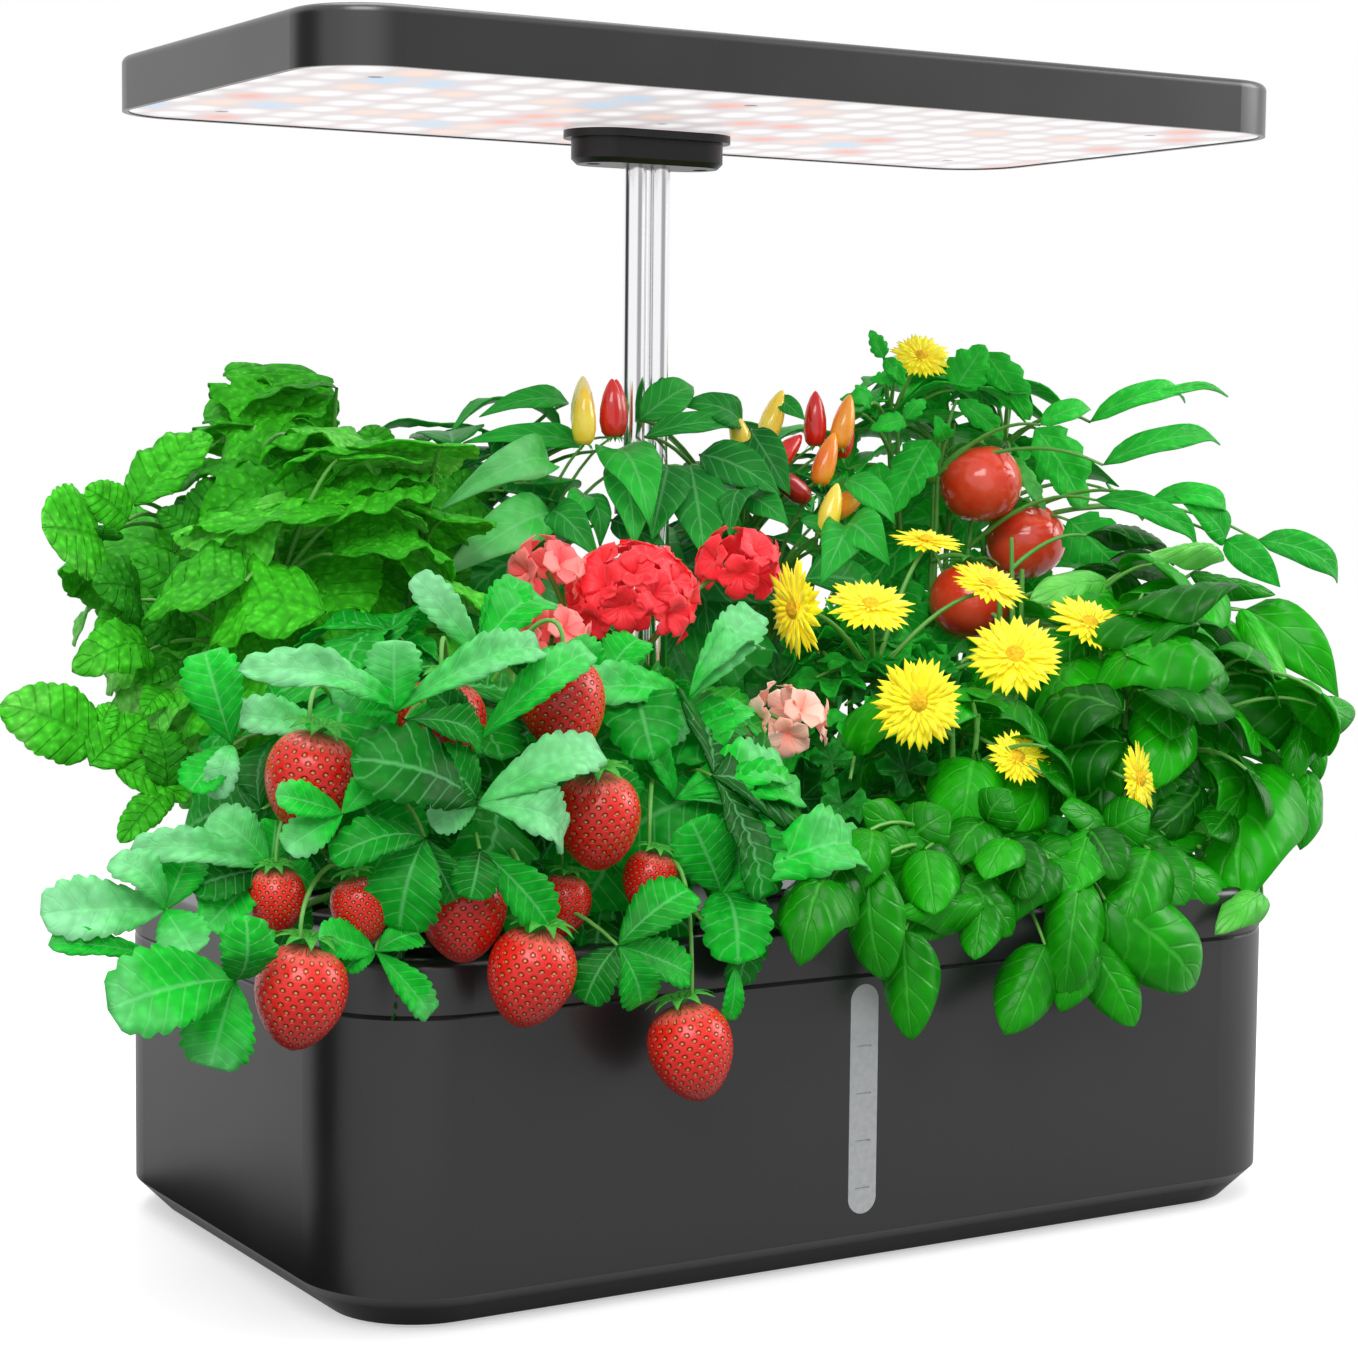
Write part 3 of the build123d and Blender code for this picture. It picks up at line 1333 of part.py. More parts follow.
with BuildPart() as geranium_flowers:
    for place, radius in geranium_heads:
        foot = (-radius / 2, radius * 0.6)
        shoulder = (radius * 0.35, radius * 0.85)
        crown = (radius * 0.6, radius * 0.4)
        with Locations(place):
            add(faceted_fruit(12, (foot, (0, radius), shoulder, crown)))
save(geranium_flowers.part, "geranium_flowers")
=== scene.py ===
import json
import random
from math import atan2, cos, hypot, pi, radians, sin, sqrt

import bmesh
import bpy
from mathutils import Matrix, Vector


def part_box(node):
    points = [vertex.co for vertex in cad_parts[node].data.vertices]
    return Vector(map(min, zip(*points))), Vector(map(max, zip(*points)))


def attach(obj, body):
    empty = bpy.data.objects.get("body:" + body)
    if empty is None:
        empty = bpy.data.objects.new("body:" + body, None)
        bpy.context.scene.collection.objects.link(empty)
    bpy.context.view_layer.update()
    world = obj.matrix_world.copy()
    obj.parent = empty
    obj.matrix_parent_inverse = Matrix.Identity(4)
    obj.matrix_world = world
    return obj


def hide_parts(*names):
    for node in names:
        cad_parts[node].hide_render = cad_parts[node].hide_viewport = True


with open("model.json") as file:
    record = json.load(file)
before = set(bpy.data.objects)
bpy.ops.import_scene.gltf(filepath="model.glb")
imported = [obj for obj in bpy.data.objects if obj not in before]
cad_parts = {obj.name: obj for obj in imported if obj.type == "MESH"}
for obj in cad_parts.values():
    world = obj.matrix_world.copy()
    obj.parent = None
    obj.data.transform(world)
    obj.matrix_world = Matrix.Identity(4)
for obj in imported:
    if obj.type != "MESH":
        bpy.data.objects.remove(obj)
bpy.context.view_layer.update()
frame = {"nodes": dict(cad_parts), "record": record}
bpy.ops.object.select_all(action="DESELECT")

mm = 0.001

# ---------------------------------------------------------------- the camera and its picture frame
view_place = Vector((-590.4, -962.8, 296.0)) * mm
view_yaw = 0.540
view_pitch = -0.083
view_roll = 0.010
frame_width = 1358
frame_height = 1350
focal_pixels = 2974.8
sensor_width = 36.0

view_ahead = Vector((sin(view_yaw) * cos(view_pitch), cos(view_yaw) * cos(view_pitch), sin(view_pitch)))
level_right = Vector((cos(view_yaw), -sin(view_yaw), 0))
level_up = level_right.cross(view_ahead)
view_right = level_right * cos(view_roll) + level_up * sin(view_roll)
view_up = level_up * cos(view_roll) - level_right * sin(view_roll)


def seen_at(across, down, depth):
    """The point that shows at this place of the picture frame, on the plane Y = depth millimetres."""
    side = (across - frame_width / 2) / focal_pixels
    rise = (frame_height / 2 - down) / focal_pixels
    ray = view_ahead + view_right * side + view_up * rise
    return view_place + ray * ((depth * mm - view_place.y) / ray.y)


def shown_at(point):
    """Where a point shows in the picture frame."""
    offset = point - view_place
    ahead = offset.dot(view_ahead) / focal_pixels
    return frame_width / 2 + offset.dot(view_right) / ahead, frame_height / 2 - offset.dot(view_up) / ahead


def nearest_look(point, looks):
    """The entry of looks whose place in the frame, its first two values, is nearest to where this
    point shows."""
    across, down = shown_at(point)
    return min(looks, key=lambda look: hypot(look[0] - across, look[1] - down))


# ---------------------------------------------------------------- colours and nodes
def tone(hex_code):
    """An sRGB hex value as a linear colour."""
    channels = [int(hex_code[place : place + 2], 16) / 255 for place in (0, 2, 4)]
    linear = [c / 12.92 if c <= 0.04045 else ((c + 0.055) / 1.055) ** 2.4 for c in channels]
    return (*linear, 1.0)


def per_metre(size):
    """Texture scale that gives a pattern this size in millimetres."""
    return 1 / (size * mm)


def add_node(owner, kind, inputs=(), **settings):
    """Add a node to a material or the world, apply its settings, and fill its inputs with values or
    with other nodes' outputs."""
    node = owner.node_tree.nodes.new(kind)
    for name, value in settings.items():
        setattr(node, name, value)
    for socket, source in dict(inputs).items():
        if isinstance(source, bpy.types.NodeSocket):
            owner.node_tree.links.new(source, node.inputs[socket])
        else:
            node.inputs[socket].default_value = source
    return node


def start_material(name, colour, roughness, **extras):
    """A material with these constant values, and its surface shader."""
    material = bpy.data.materials.new(name)
    material.use_nodes = True
    shader = material.node_tree.nodes["Principled BSDF"]
    shader.inputs["Base Color"].default_value = tone(colour)
    shader.inputs["Roughness"].default_value = roughness
    for socket, value in extras.items():
        shader.inputs[socket.replace("_", " ")].default_value = value
    material.diffuse_color = tone(colour)
    return material, shader


def feed(material, shader, **links):
    """Link outputs to the shader's inputs."""
    for socket, source in links.items():
        material.node_tree.links.new(source, shader.inputs[socket.replace("_", " ")])


# ---------------------------------------------------------------- moulded, metal and lit finishes
def moulded_abs(name, colour, grain=0.9, roughness=0.42, depth=0.035, shine=0.4, foot=None):
    """Injection moulded ABS with a fine spark-eroded texture: satin, with a soft broken highlight.
    The grain is drawn coarser than the real 0.1 mm so that it shows. foot is the colour of a painted
    shade on the chamfer at the foot, which faces down into shadow: the chamfer is drawn matt and darker."""
    material, shader = start_material(name, colour, roughness, Specular_IOR_Level=shine)
    place = add_node(material, "ShaderNodeTexCoord").outputs["Object"]
    texture = add_node(
        material, "ShaderNodeTexNoise", {"Vector": place, "Scale": per_metre(grain), "Detail": 3.0}
    )
    clouds = add_node(
        material, "ShaderNodeTexNoise", {"Vector": place, "Scale": per_metre(45), "Detail": 2.0}
    )
    satin = add_node(
        material,
        "ShaderNodeMapRange",
        {"Value": clouds.outputs[0], 1: 0.3, 2: 0.7, 3: roughness - 0.02, 4: roughness + 0.02},
    )
    bump = add_node(
        material, "ShaderNodeBump", {"Height": texture.outputs[0], "Strength": 0.35, "Distance": depth * mm}
    )
    feed(material, shader, Roughness=satin.outputs[0], Normal=bump.outputs[0])
    # painted shade: from 14 mm down to 9 mm the colour darkens to foot and the shine drops
    if foot:
        height = add_node(material, "ShaderNodeSeparateXYZ", {0: place}).outputs["Z"]
        rise = add_node(material, "ShaderNodeMapRange", {"Value": height, 1: 9 * mm, 2: 14 * mm})
        gloss = add_node(material, "ShaderNodeMapRange", {"Value": rise.outputs[0], 3: 0.12, 4: shine})
        feed(material, shader, Specular_IOR_Level=gloss.outputs[0])
        shade = add_node(
            material,
            "ShaderNodeMix",
            {"Factor": rise.outputs[0], 6: tone(foot), 7: tone(colour)},
            data_type="RGBA",
        )
        feed(material, shader, Base_Color=shade.outputs[2])
    return material


def polished_steel():
    """Polished stainless tube, drawn lengthways: bright, with faint upright draw marks."""
    material, shader = start_material("polished stainless", "F0F0F2", 0.1, Metallic=1.0)
    place = add_node(material, "ShaderNodeTexCoord").outputs["Object"]
    stretch = add_node(material, "ShaderNodeMapping", {"Vector": place, "Scale": (1.0, 1.0, 0.02)})
    marks = add_node(
        material,
        "ShaderNodeTexNoise",
        {"Vector": stretch.outputs[0], "Scale": per_metre(1.2), "Detail": 2.0},
    )
    shine = add_node(material, "ShaderNodeMapRange", {"Value": marks.outputs[0], 3: 0.07, 4: 0.15})
    feed(material, shader, Roughness=shine.outputs[0])
    return material


def zinc_plate():
    """Zinc plated steel screw: grey, slightly mottled by the plating."""
    material, shader = start_material("zinc plated steel", "8A8C8F", 0.38, Metallic=1.0)
    place = add_node(material, "ShaderNodeTexCoord").outputs["Object"]
    mottle = add_node(
        material, "ShaderNodeTexNoise", {"Vector": place, "Scale": per_metre(0.8), "Detail": 2.0}
    )
    shine = add_node(material, "ShaderNodeMapRange", {"Value": mottle.outputs[0], 3: 0.3, 4: 0.5})
    feed(material, shader, Roughness=shine.outputs[0])
    return material


def moulded_rubber():
    """Moulded rubber: near black and matt, with a dusty bloom."""
    material, shader = start_material("moulded rubber", "1C1C1C", 0.85)
    place = add_node(material, "ShaderNodeTexCoord").outputs["Object"]
    bloom = add_node(
        material, "ShaderNodeTexNoise", {"Vector": place, "Scale": per_metre(3), "Detail": 4.0}
    )
    shade = add_node(
        material,
        "ShaderNodeMix",
        {"Factor": bloom.outputs[0], 6: tone("161616"), 7: tone("2A2A2A")},
        data_type="RGBA",
    )
    feed(material, shader, Base_Color=shade.outputs[2])
    return material


def frosted_acrylic():
    """Frosted acrylic strip: pale grey, with the water's shadow behind it and a soft shine."""
    material, shader = start_material("frosted acrylic", "B9BBBD", 0.3, IOR=1.49, Specular_IOR_Level=0.5)
    place = add_node(material, "ShaderNodeTexCoord").outputs["Object"]
    height = add_node(material, "ShaderNodeSeparateXYZ", {0: place}).outputs["Z"]
    frost = add_node(
        material, "ShaderNodeTexNoise", {"Vector": place, "Scale": per_metre(2.5), "Detail": 3.0}
    )
    level = add_node(
        material,
        "ShaderNodeMapRange",
        {"Value": height, 1: 84 * mm, 2: 90 * mm, 3: 0.0, 4: 1.0},
        interpolation_type="SMOOTHSTEP",
    )
    water = add_node(
        material,
        "ShaderNodeMix",
        {"Factor": level.outputs[0], 6: tone("9DA0A2"), 7: tone("AEB0B2")},
        data_type="RGBA",
    )
    shade = add_node(
        material,
        "ShaderNodeMix",
        {"Factor": frost.outputs[0], 6: water.outputs[2], 7: tone("C0C2C4")},
        data_type="RGBA",
    )
    feed(material, shader, Base_Color=shade.outputs[2])
    return material


def lit_diffuser():
    """Milky polycarbonate lit from behind: a pale sheet with a soft spot under each light, most of
    them white, the others red, peach and blue."""
    spot_pitch = (19.0, 24.0)
    lamp_low, lamp_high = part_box("lamp_diffuser")
    middle = (lamp_low + lamp_high) / 2
    material, shader = start_material("lit polycarbonate", "121112", 0.4, Emission_Strength=0.9)
    place = add_node(material, "ShaderNodeTexCoord").outputs["Object"]
    grid = add_node(
        material,
        "ShaderNodeMapping",
        {
            "Vector": place,
            "Location": (-middle.x / (spot_pitch[0] * mm), -middle.y / (spot_pitch[1] * mm), 0),
            "Scale": (per_metre(spot_pitch[0]), per_metre(spot_pitch[1]), 0),
        },
    )
    cell = add_node(material, "ShaderNodeVectorMath", {0: grid.outputs[0]}, operation="FLOOR")
    inside = add_node(material, "ShaderNodeVectorMath", {0: grid.outputs[0]}, operation="FRACTION")
    offset = add_node(
        material, "ShaderNodeVectorMath", {0: inside.outputs[0], 1: (0.5, 0.5, 0.0)}, operation="DISTANCE"
    )
    glow = add_node(
        material,
        "ShaderNodeMapRange",
        {"Value": offset.outputs["Value"], 1: 0.0, 2: 0.62, 3: 1.0, 4: 0.0},
        interpolation_type="SMOOTHSTEP",
    )
    pick = add_node(material, "ShaderNodeTexWhiteNoise", {"Vector": cell.outputs[0]}, noise_dimensions="2D")
    lights = add_node(material, "ShaderNodeValToRGB", {"Fac": pick.outputs["Value"]})
    ramp = lights.color_ramp
    ramp.interpolation = "CONSTANT"
    ramp.elements[0].color = tone("FFFFFF")
    ramp.elements[1].position = 0.52
    ramp.elements[1].color = tone("F5A898")
    for position, colour in ((0.62, "FAD6C4"), (0.74, "B4D6F2"), (0.80, "FFFFFF")):
        ramp.elements.new(position).color = tone(colour)
    sheet = add_node(
        material,
        "ShaderNodeMix",
        {"Factor": glow.outputs[0], 6: tone("D8CED0"), 7: lights.outputs[0]},
        data_type="RGBA",
    )
    feed(material, shader, Emission_Color=sheet.outputs[2])
    return material


def open_cell_foam(name, light, dark, pore):
    """Open-cell foam, damp: dark pores in a paler web."""
    material, shader = start_material(name, light, 0.9)
    place = add_node(material, "ShaderNodeTexCoord").outputs["Object"]
    pores = add_node(material, "ShaderNodeTexVoronoi", {"Vector": place, "Scale": per_metre(pore)})
    shade = add_node(
        material,
        "ShaderNodeMix",
        {"Factor": pores.outputs["Distance"], 6: tone(dark), 7: tone(light)},
        data_type="RGBA",
    )
    bump = add_node(
        material,
        "ShaderNodeBump",
        {"Height": pores.outputs["Distance"], "Strength": 0.8, "Distance": 0.6 * mm},
    )
    feed(material, shader, Base_Color=shade.outputs[2], Normal=bump.outputs[0])
    return material


def printed_board(name, mask, track):
    """Circuit board: solder mask over copper tracks, which show as a slightly paler net."""
    material, shader = start_material(name, mask, 0.3)
    place = add_node(material, "ShaderNodeTexCoord").outputs["Object"]
    tracks = add_node(
        material,
        "ShaderNodeTexBrick",
        {
            "Vector": place,
            "Scale": per_metre(6),
            "Color1": tone(mask),
            "Color2": tone(mask),
            "Mortar": tone(track),
            "Mortar Size": 0.03,
        },
    )
    feed(material, shader, Base_Color=tracks.outputs[0])
    return material


def soft_silicone():
    """Translucent silicone hose: milky, slightly uneven."""
    material, shader = start_material("milky silicone", "B8BAB8", 0.35)
    place = add_node(material, "ShaderNodeTexCoord").outputs["Object"]
    cloud = add_node(material, "ShaderNodeTexNoise", {"Vector": place, "Scale": per_metre(4)})
    shade = add_node(
        material,
        "ShaderNodeMix",
        {"Factor": cloud.outputs[0], 6: tone("A4A7A5"), 7: tone("C8CAC8")},
        data_type="RGBA",
    )
    feed(material, shader, Base_Color=shade.outputs[2])
    return material


# ---------------------------------------------------------------- plant finishes
def leaf_finish(
    name,
    deep,
    fresh,
    pale,
    vein,
    pairs=6,
    sweep=1.4,
    cell=3.0,
    relief=0.4,
    roughness=0.4,
    vein_share=0.4,
    painted_cell_highlight=0.1,
    tip_light=0.3,
    shine=0.1,
    net=0.4,
    fan=False,
):
    """Skin of a leaf. Its own map gives the midrib and the side veins: across the blade in X and from
    foot to tip in Y. The attribute 'tint' sets the leaf's colour: 0 is deep, 1 fresh and 1.5 pale, where
    the pale is a painted sheen, and the tip is lighter by tip_light, a painted light on the tip over a
    painted shade at the foot. A net of cells this many millimetres wide swells between the small veins;
    net darkens the grooves between the cells as a painted shade, and sparkle lightens the cells' tops as
    a painted highlight. The blade glows faintly in its own colour, a painted light that stands in for the
    light that comes through it."""
    # the emission is a painted light: the blade glows faintly in its own colour
    material, shader = start_material(
        name, deep, roughness, Specular_IOR_Level=shine, Emission_Strength=0.14
    )
    along_leaf = add_node(material, "ShaderNodeUVMap", uv_map="leaf").outputs[0]
    place = add_node(material, "ShaderNodeTexCoord").outputs["Object"]
    tint = add_node(material, "ShaderNodeAttribute", attribute_name="tint").outputs["Fac"]
    split = add_node(material, "ShaderNodeSeparateXYZ", {0: along_leaf})
    if fan:
        # veins fan out from the foot to the lobes
        rays = add_node(
            material, "ShaderNodeMath", {0: split.outputs["X"], 1: float(pairs)}, operation="MULTIPLY"
        )
        line = add_node(material, "ShaderNodeMath", {0: rays.outputs[0], 1: 0.5}, operation="PINGPONG")
        width = add_node(material, "ShaderNodeMapRange", {"Value": split.outputs["Y"], 3: 0.16, 4: 0.03})
        veins = add_node(
            material,
            "ShaderNodeMapRange",
            {"Value": line.outputs[0], 1: 0.0, 2: width.outputs[0], 3: 1.0, 4: 0.0},
        )
    else:
        centred = add_node(
            material, "ShaderNodeMath", {0: split.outputs["X"], 1: 2.0, 2: -1.0}, operation="MULTIPLY_ADD"
        )
        out = add_node(material, "ShaderNodeMath", {0: centred.outputs[0]}, operation="ABSOLUTE")
        midrib = add_node(
            material,
            "ShaderNodeMapRange",
            {"Value": out.outputs[0], 1: 0.02, 2: 0.09, 3: 1.0, 4: 0.0},
        )
        climb = add_node(
            material,
            "ShaderNodeMath",
            {0: split.outputs["Y"], 1: float(pairs), 2: 0.5},
            operation="MULTIPLY_ADD",
        )
        slant = add_node(
            material,
            "ShaderNodeMath",
            {0: out.outputs[0], 1: -sweep, 2: climb.outputs[0]},
            operation="MULTIPLY_ADD",
        )
        line = add_node(material, "ShaderNodeMath", {0: slant.outputs[0], 1: 0.5}, operation="PINGPONG")
        side = add_node(
            material,
            "ShaderNodeMapRange",
            {"Value": line.outputs[0], 1: 0.0, 2: 0.10, 3: 0.8, 4: 0.0},
        )
        veins = add_node(
            material, "ShaderNodeMath", {0: midrib.outputs[0], 1: side.outputs[0]}, operation="MAXIMUM"
        )
    cells = add_node(
        material,
        "ShaderNodeTexVoronoi",
        {"Vector": place, "Scale": per_metre(cell)},
        feature="SMOOTH_F1",
    )
    patches = add_node(
        material, "ShaderNodeTexNoise", {"Vector": place, "Scale": per_metre(14), "Detail": 3.0}
    )
    # painted light and shade: the tip is lightened by tip_light and the foot darkened
    tip_share = add_node(
        material, "ShaderNodeMath", {0: split.outputs["Y"], 1: tip_light, 2: tint}, operation="MULTIPLY_ADD"
    )
    green_and_sheen_level = add_node(
        material,
        "ShaderNodeMath",
        {0: patches.outputs[0], 1: 0.6, 2: tip_share.outputs[0]},
        operation="MULTIPLY_ADD",
    )
    # the level at which a leaf is deep, fresh and pale all over; the pale is a painted sheen
    all_deep, all_fresh, all_pale = 0.3 + tip_light / 2, 1.3 + tip_light / 2, 1.9 + tip_light / 2
    fresh_share = add_node(
        material, "ShaderNodeMapRange", {"Value": green_and_sheen_level.outputs[0], 1: all_deep, 2: all_fresh}
    )
    pale_sheen_share = add_node(
        material, "ShaderNodeMapRange", {"Value": green_and_sheen_level.outputs[0], 1: all_fresh, 2: all_pale}
    )
    green = add_node(
        material,
        "ShaderNodeMix",
        {"Factor": fresh_share.outputs[0], 6: tone(deep), 7: tone(fresh)},
        data_type="RGBA",
    )
    blade = add_node(
        material,
        "ShaderNodeMix",
        {"Factor": pale_sheen_share.outputs[0], 6: green.outputs[2], 7: tone(pale)},
        data_type="RGBA",
    )
    # painted shade: the grooves between the cells darken towards the deep colour, by net
    painted_groove_shade = add_node(
        material,
        "ShaderNodeMapRange",
        {"Value": cells.outputs["Distance"], 1: 0.15, 2: 0.65, 3: 0.0, 4: net},
    )
    with_groove_shade = add_node(
        material,
        "ShaderNodeMix",
        {"Factor": painted_groove_shade.outputs[0], 6: blade.outputs[2], 7: tone(deep)},
        data_type="RGBA",
    )
    # painted highlight: the cells' tops lighten towards the pale colour, by sparkle
    painted_highlight_share = add_node(
        material,
        "ShaderNodeMapRange",
        {"Value": cells.outputs["Distance"], 1: 0.02, 2: 0.3, 3: painted_cell_highlight, 4: 0.0},
    )
    with_painted_highlight = add_node(
        material,
        "ShaderNodeMix",
        {"Factor": painted_highlight_share.outputs[0], 6: with_groove_shade.outputs[2], 7: tone(pale)},
        data_type="RGBA",
    )
    vein_mix = add_node(
        material, "ShaderNodeMath", {0: veins.outputs[0], 1: vein_share}, operation="MULTIPLY"
    )
    skin = add_node(
        material,
        "ShaderNodeMix",
        {"Factor": vein_mix.outputs[0], 6: with_painted_highlight.outputs[2], 7: tone(vein)},
        data_type="RGBA",
    )
    groove = add_node(material, "ShaderNodeMath", {0: veins.outputs[0], 1: -0.6}, operation="MULTIPLY")
    swell = add_node(
        material,
        "ShaderNodeMath",
        {0: cells.outputs["Distance"], 1: -1.0, 2: groove.outputs[0]},
        operation="MULTIPLY_ADD",
    )
    bump = add_node(
        material, "ShaderNodeBump", {"Height": swell.outputs[0], "Strength": 0.9, "Distance": relief * mm}
    )
    feed(
        material,
        shader,
        Base_Color=skin.outputs[2],
        Emission_Color=skin.outputs[2],
        Normal=bump.outputs[0],
    )
    return material


def stalk_finish(name, low, high):
    """Green stalk, its colour varied in patches where it is older or younger."""
    material, shader = start_material(name, low, 0.45)
    place = add_node(material, "ShaderNodeTexCoord").outputs["Object"]
    patches = add_node(
        material, "ShaderNodeTexNoise", {"Vector": place, "Scale": per_metre(12), "Detail": 3.0}
    )
    shade = add_node(
        material,
        "ShaderNodeMix",
        {"Factor": patches.outputs[0], 6: tone(low), 7: tone(high)},
        data_type="RGBA",
    )
    feed(material, shader, Base_Color=shade.outputs[2])
    return material


def berry_finish():
    """Ripe strawberry: glossy red skin with pits and a straw-coloured seed in each pit. The pits stand in
    staggered rings, laid out on the berry's own map, and are darkened as a painted shade in them."""
    seeds_round = 21.0
    rings = 15.0
    material, shader = start_material(
        "ripe strawberry skin",
        "C4100F",
        0.3,
        Specular_IOR_Level=0.45,
        Coat_Weight=0.15,
        Coat_Roughness=0.12,
    )
    skin_map = add_node(material, "ShaderNodeUVMap", uv_map="leaf").outputs[0]
    place = add_node(material, "ShaderNodeTexCoord").outputs["Object"]
    split = add_node(material, "ShaderNodeSeparateXYZ", {0: skin_map})
    ring = add_node(
        material, "ShaderNodeMath", {0: split.outputs["Y"], 1: rings}, operation="MULTIPLY"
    )
    ring_number = add_node(material, "ShaderNodeMath", {0: ring.outputs[0]}, operation="FLOOR")
    stagger = add_node(
        material, "ShaderNodeMath", {0: ring_number.outputs[0], 1: 0.5}, operation="MULTIPLY"
    )
    round_place = add_node(
        material,
        "ShaderNodeMath",
        {0: split.outputs["X"], 1: seeds_round, 2: stagger.outputs[0]},
        operation="MULTIPLY_ADD",
    )
    across = add_node(material, "ShaderNodeMath", {0: round_place.outputs[0]}, operation="FRACT")
    up = add_node(material, "ShaderNodeMath", {0: ring.outputs[0]}, operation="FRACT")
    spot = add_node(material, "ShaderNodeCombineXYZ", {0: across.outputs[0], 1: up.outputs[0]})
    wide = add_node(
        material, "ShaderNodeVectorMath", {0: spot.outputs[0], 1: (0.5, 0.5, 0)}, operation="SUBTRACT"
    )
    narrow = add_node(
        material, "ShaderNodeVectorMath", {0: wide.outputs[0], 1: (1.5, 1.0, 0)}, operation="MULTIPLY"
    )
    reach = add_node(material, "ShaderNodeVectorMath", {0: narrow.outputs[0]}, operation="LENGTH")
    seed = add_node(
        material,
        "ShaderNodeMapRange",
        {"Value": reach.outputs["Value"], 1: 0.15, 2: 0.22, 3: 1.0, 4: 0.0},
    )
    pit = add_node(
        material,
        "ShaderNodeMapRange",
        {"Value": reach.outputs["Value"], 1: 0.12, 2: 0.46, 3: 0.0, 4: 1.0},
        interpolation_type="SMOOTHSTEP",
    )
    ripeness = add_node(
        material, "ShaderNodeTexNoise", {"Vector": place, "Scale": per_metre(22), "Detail": 2.0}
    )
    flesh = add_node(
        material,
        "ShaderNodeMix",
        {"Factor": ripeness.outputs[0], 6: tone("C60A0A"), 7: tone("FF2A1C")},
        data_type="RGBA",
    )
    # painted shade: the pits darken towards a deep red
    pit_shaded = add_node(
        material,
        "ShaderNodeMix",
        {"Factor": pit.outputs[0], 6: tone("860508"), 7: flesh.outputs[2]},
        data_type="RGBA",
    )
    shoulder = add_node(
        material,
        "ShaderNodeMapRange",
        {"Value": split.outputs["Y"], 1: 0.86, 2: 1.0, 3: 0.0, 4: 0.5},
    )
    pale = add_node(
        material,
        "ShaderNodeMix",
        {"Factor": shoulder.outputs[0], 6: pit_shaded.outputs[2], 7: tone("F0A090")},
        data_type="RGBA",
    )
    skin = add_node(
        material,
        "ShaderNodeMix",
        {"Factor": seed.outputs[0], 6: pale.outputs[2], 7: tone("D9923A")},
        data_type="RGBA",
    )
    seed_rise = add_node(
        material,
        "ShaderNodeMath",
        {0: seed.outputs[0], 1: 0.35, 2: pit.outputs[0]},
        operation="MULTIPLY_ADD",
    )
    bump = add_node(
        material, "ShaderNodeBump", {"Height": seed_rise.outputs[0], "Strength": 1.0, "Distance": 0.8 * mm}
    )
    feed(material, shader, Base_Color=skin.outputs[2], Normal=bump.outputs[0])
    return material


def fruit_skin(name, low, high, roughness=0.18):
    """Thin waxy fruit skin: smooth and glossy, mottled a little by ripeness."""
    material, shader = start_material(name, high, roughness, Coat_Weight=0.3, Coat_Roughness=0.1)
    place = add_node(material, "ShaderNodeTexCoord").outputs["Object"]
    ripeness = add_node(
        material, "ShaderNodeTexNoise", {"Vector": place, "Scale": per_metre(14), "Detail": 3.0}
    )
    spread = add_node(material, "ShaderNodeMapRange", {"Value": ripeness.outputs[0], 1: 0.32, 2: 0.68})
    shade = add_node(
        material,
        "ShaderNodeMix",
        {"Factor": spread.outputs[0], 6: tone(low), 7: tone(high)},
        data_type="RGBA",
    )
    feed(material, shader, Base_Color=shade.outputs[2])
    return material


def petal_finish(name, heart, edge):
    """Soft petal: matt, with fine ribs from foot to edge, deeper in colour at the foot. It glows a little
    of its own colour, a painted light that stands in for the light that comes through the thin petal."""
    ribs = 5.0
    # the emission is a painted light: the petal glows faintly in its own colour
    material, shader = start_material(name, edge, 0.55, Sheen_Weight=0.2, Emission_Strength=0.16)
    along = add_node(material, "ShaderNodeUVMap", uv_map="leaf").outputs[0]
    split = add_node(material, "ShaderNodeSeparateXYZ", {0: along})
    tint = add_node(material, "ShaderNodeAttribute", attribute_name="tint").outputs["Fac"]
    rise = add_node(
        material, "ShaderNodeMath", {0: split.outputs["Y"], 1: 0.8, 2: tint}, operation="MULTIPLY_ADD"
    )
    share = add_node(material, "ShaderNodeMapRange", {"Value": rise.outputs[0], 1: 0.3, 2: 1.4})
    ribbed = add_node(material, "ShaderNodeMath", {0: split.outputs["X"], 1: ribs}, operation="MULTIPLY")
    rib = add_node(material, "ShaderNodeMath", {0: ribbed.outputs[0], 1: 0.5}, operation="PINGPONG")
    shade = add_node(
        material,
        "ShaderNodeMix",
        {"Factor": share.outputs[0], 6: tone(heart), 7: tone(edge)},
        data_type="RGBA",
    )
    bump = add_node(
        material,
        "ShaderNodeBump",
        {"Height": rib.outputs[0], "Strength": 0.6, "Distance": 0.25 * mm},
    )
    feed(
        material,
        shader,
        Base_Color=shade.outputs[2],
        Emission_Color=shade.outputs[2],
        Normal=bump.outputs[0],
    )
    return material


# ---------------------------------------------------------------- leaf forms
blade_thickness = 0.012  # as a share of the blade's length


def outline_width(share, foot_power, tip_power):
    """Half width of a blade at this share of its length, as a share of its greatest half width. A low
    power makes that end blunt."""
    peak = foot_power / (foot_power + tip_power)
    rise = (max(share, 0) / peak) ** foot_power
    fall = (max(1 - share, 0) / (1 - peak)) ** tip_power
    return rise * fall


def start_blade(name, rows, columns):
    """A square grid to shape a blade from, two units wide. Its map runs across the blade in X and from
    foot to tip in Y."""
    bpy.ops.mesh.primitive_grid_add(x_subdivisions=rows, y_subdivisions=columns, size=2)
    blade = bpy.context.object
    blade.name = name
    mesh = blade.data
    mesh.uv_layers[0].name = "leaf"
    for loop in mesh.loops:
        corner = mesh.vertices[loop.vertex_index].co
        mesh.uv_layers[0].data[loop.index].uv = ((corner.y + 1) / 2, (corner.x + 1) / 2)
    return blade


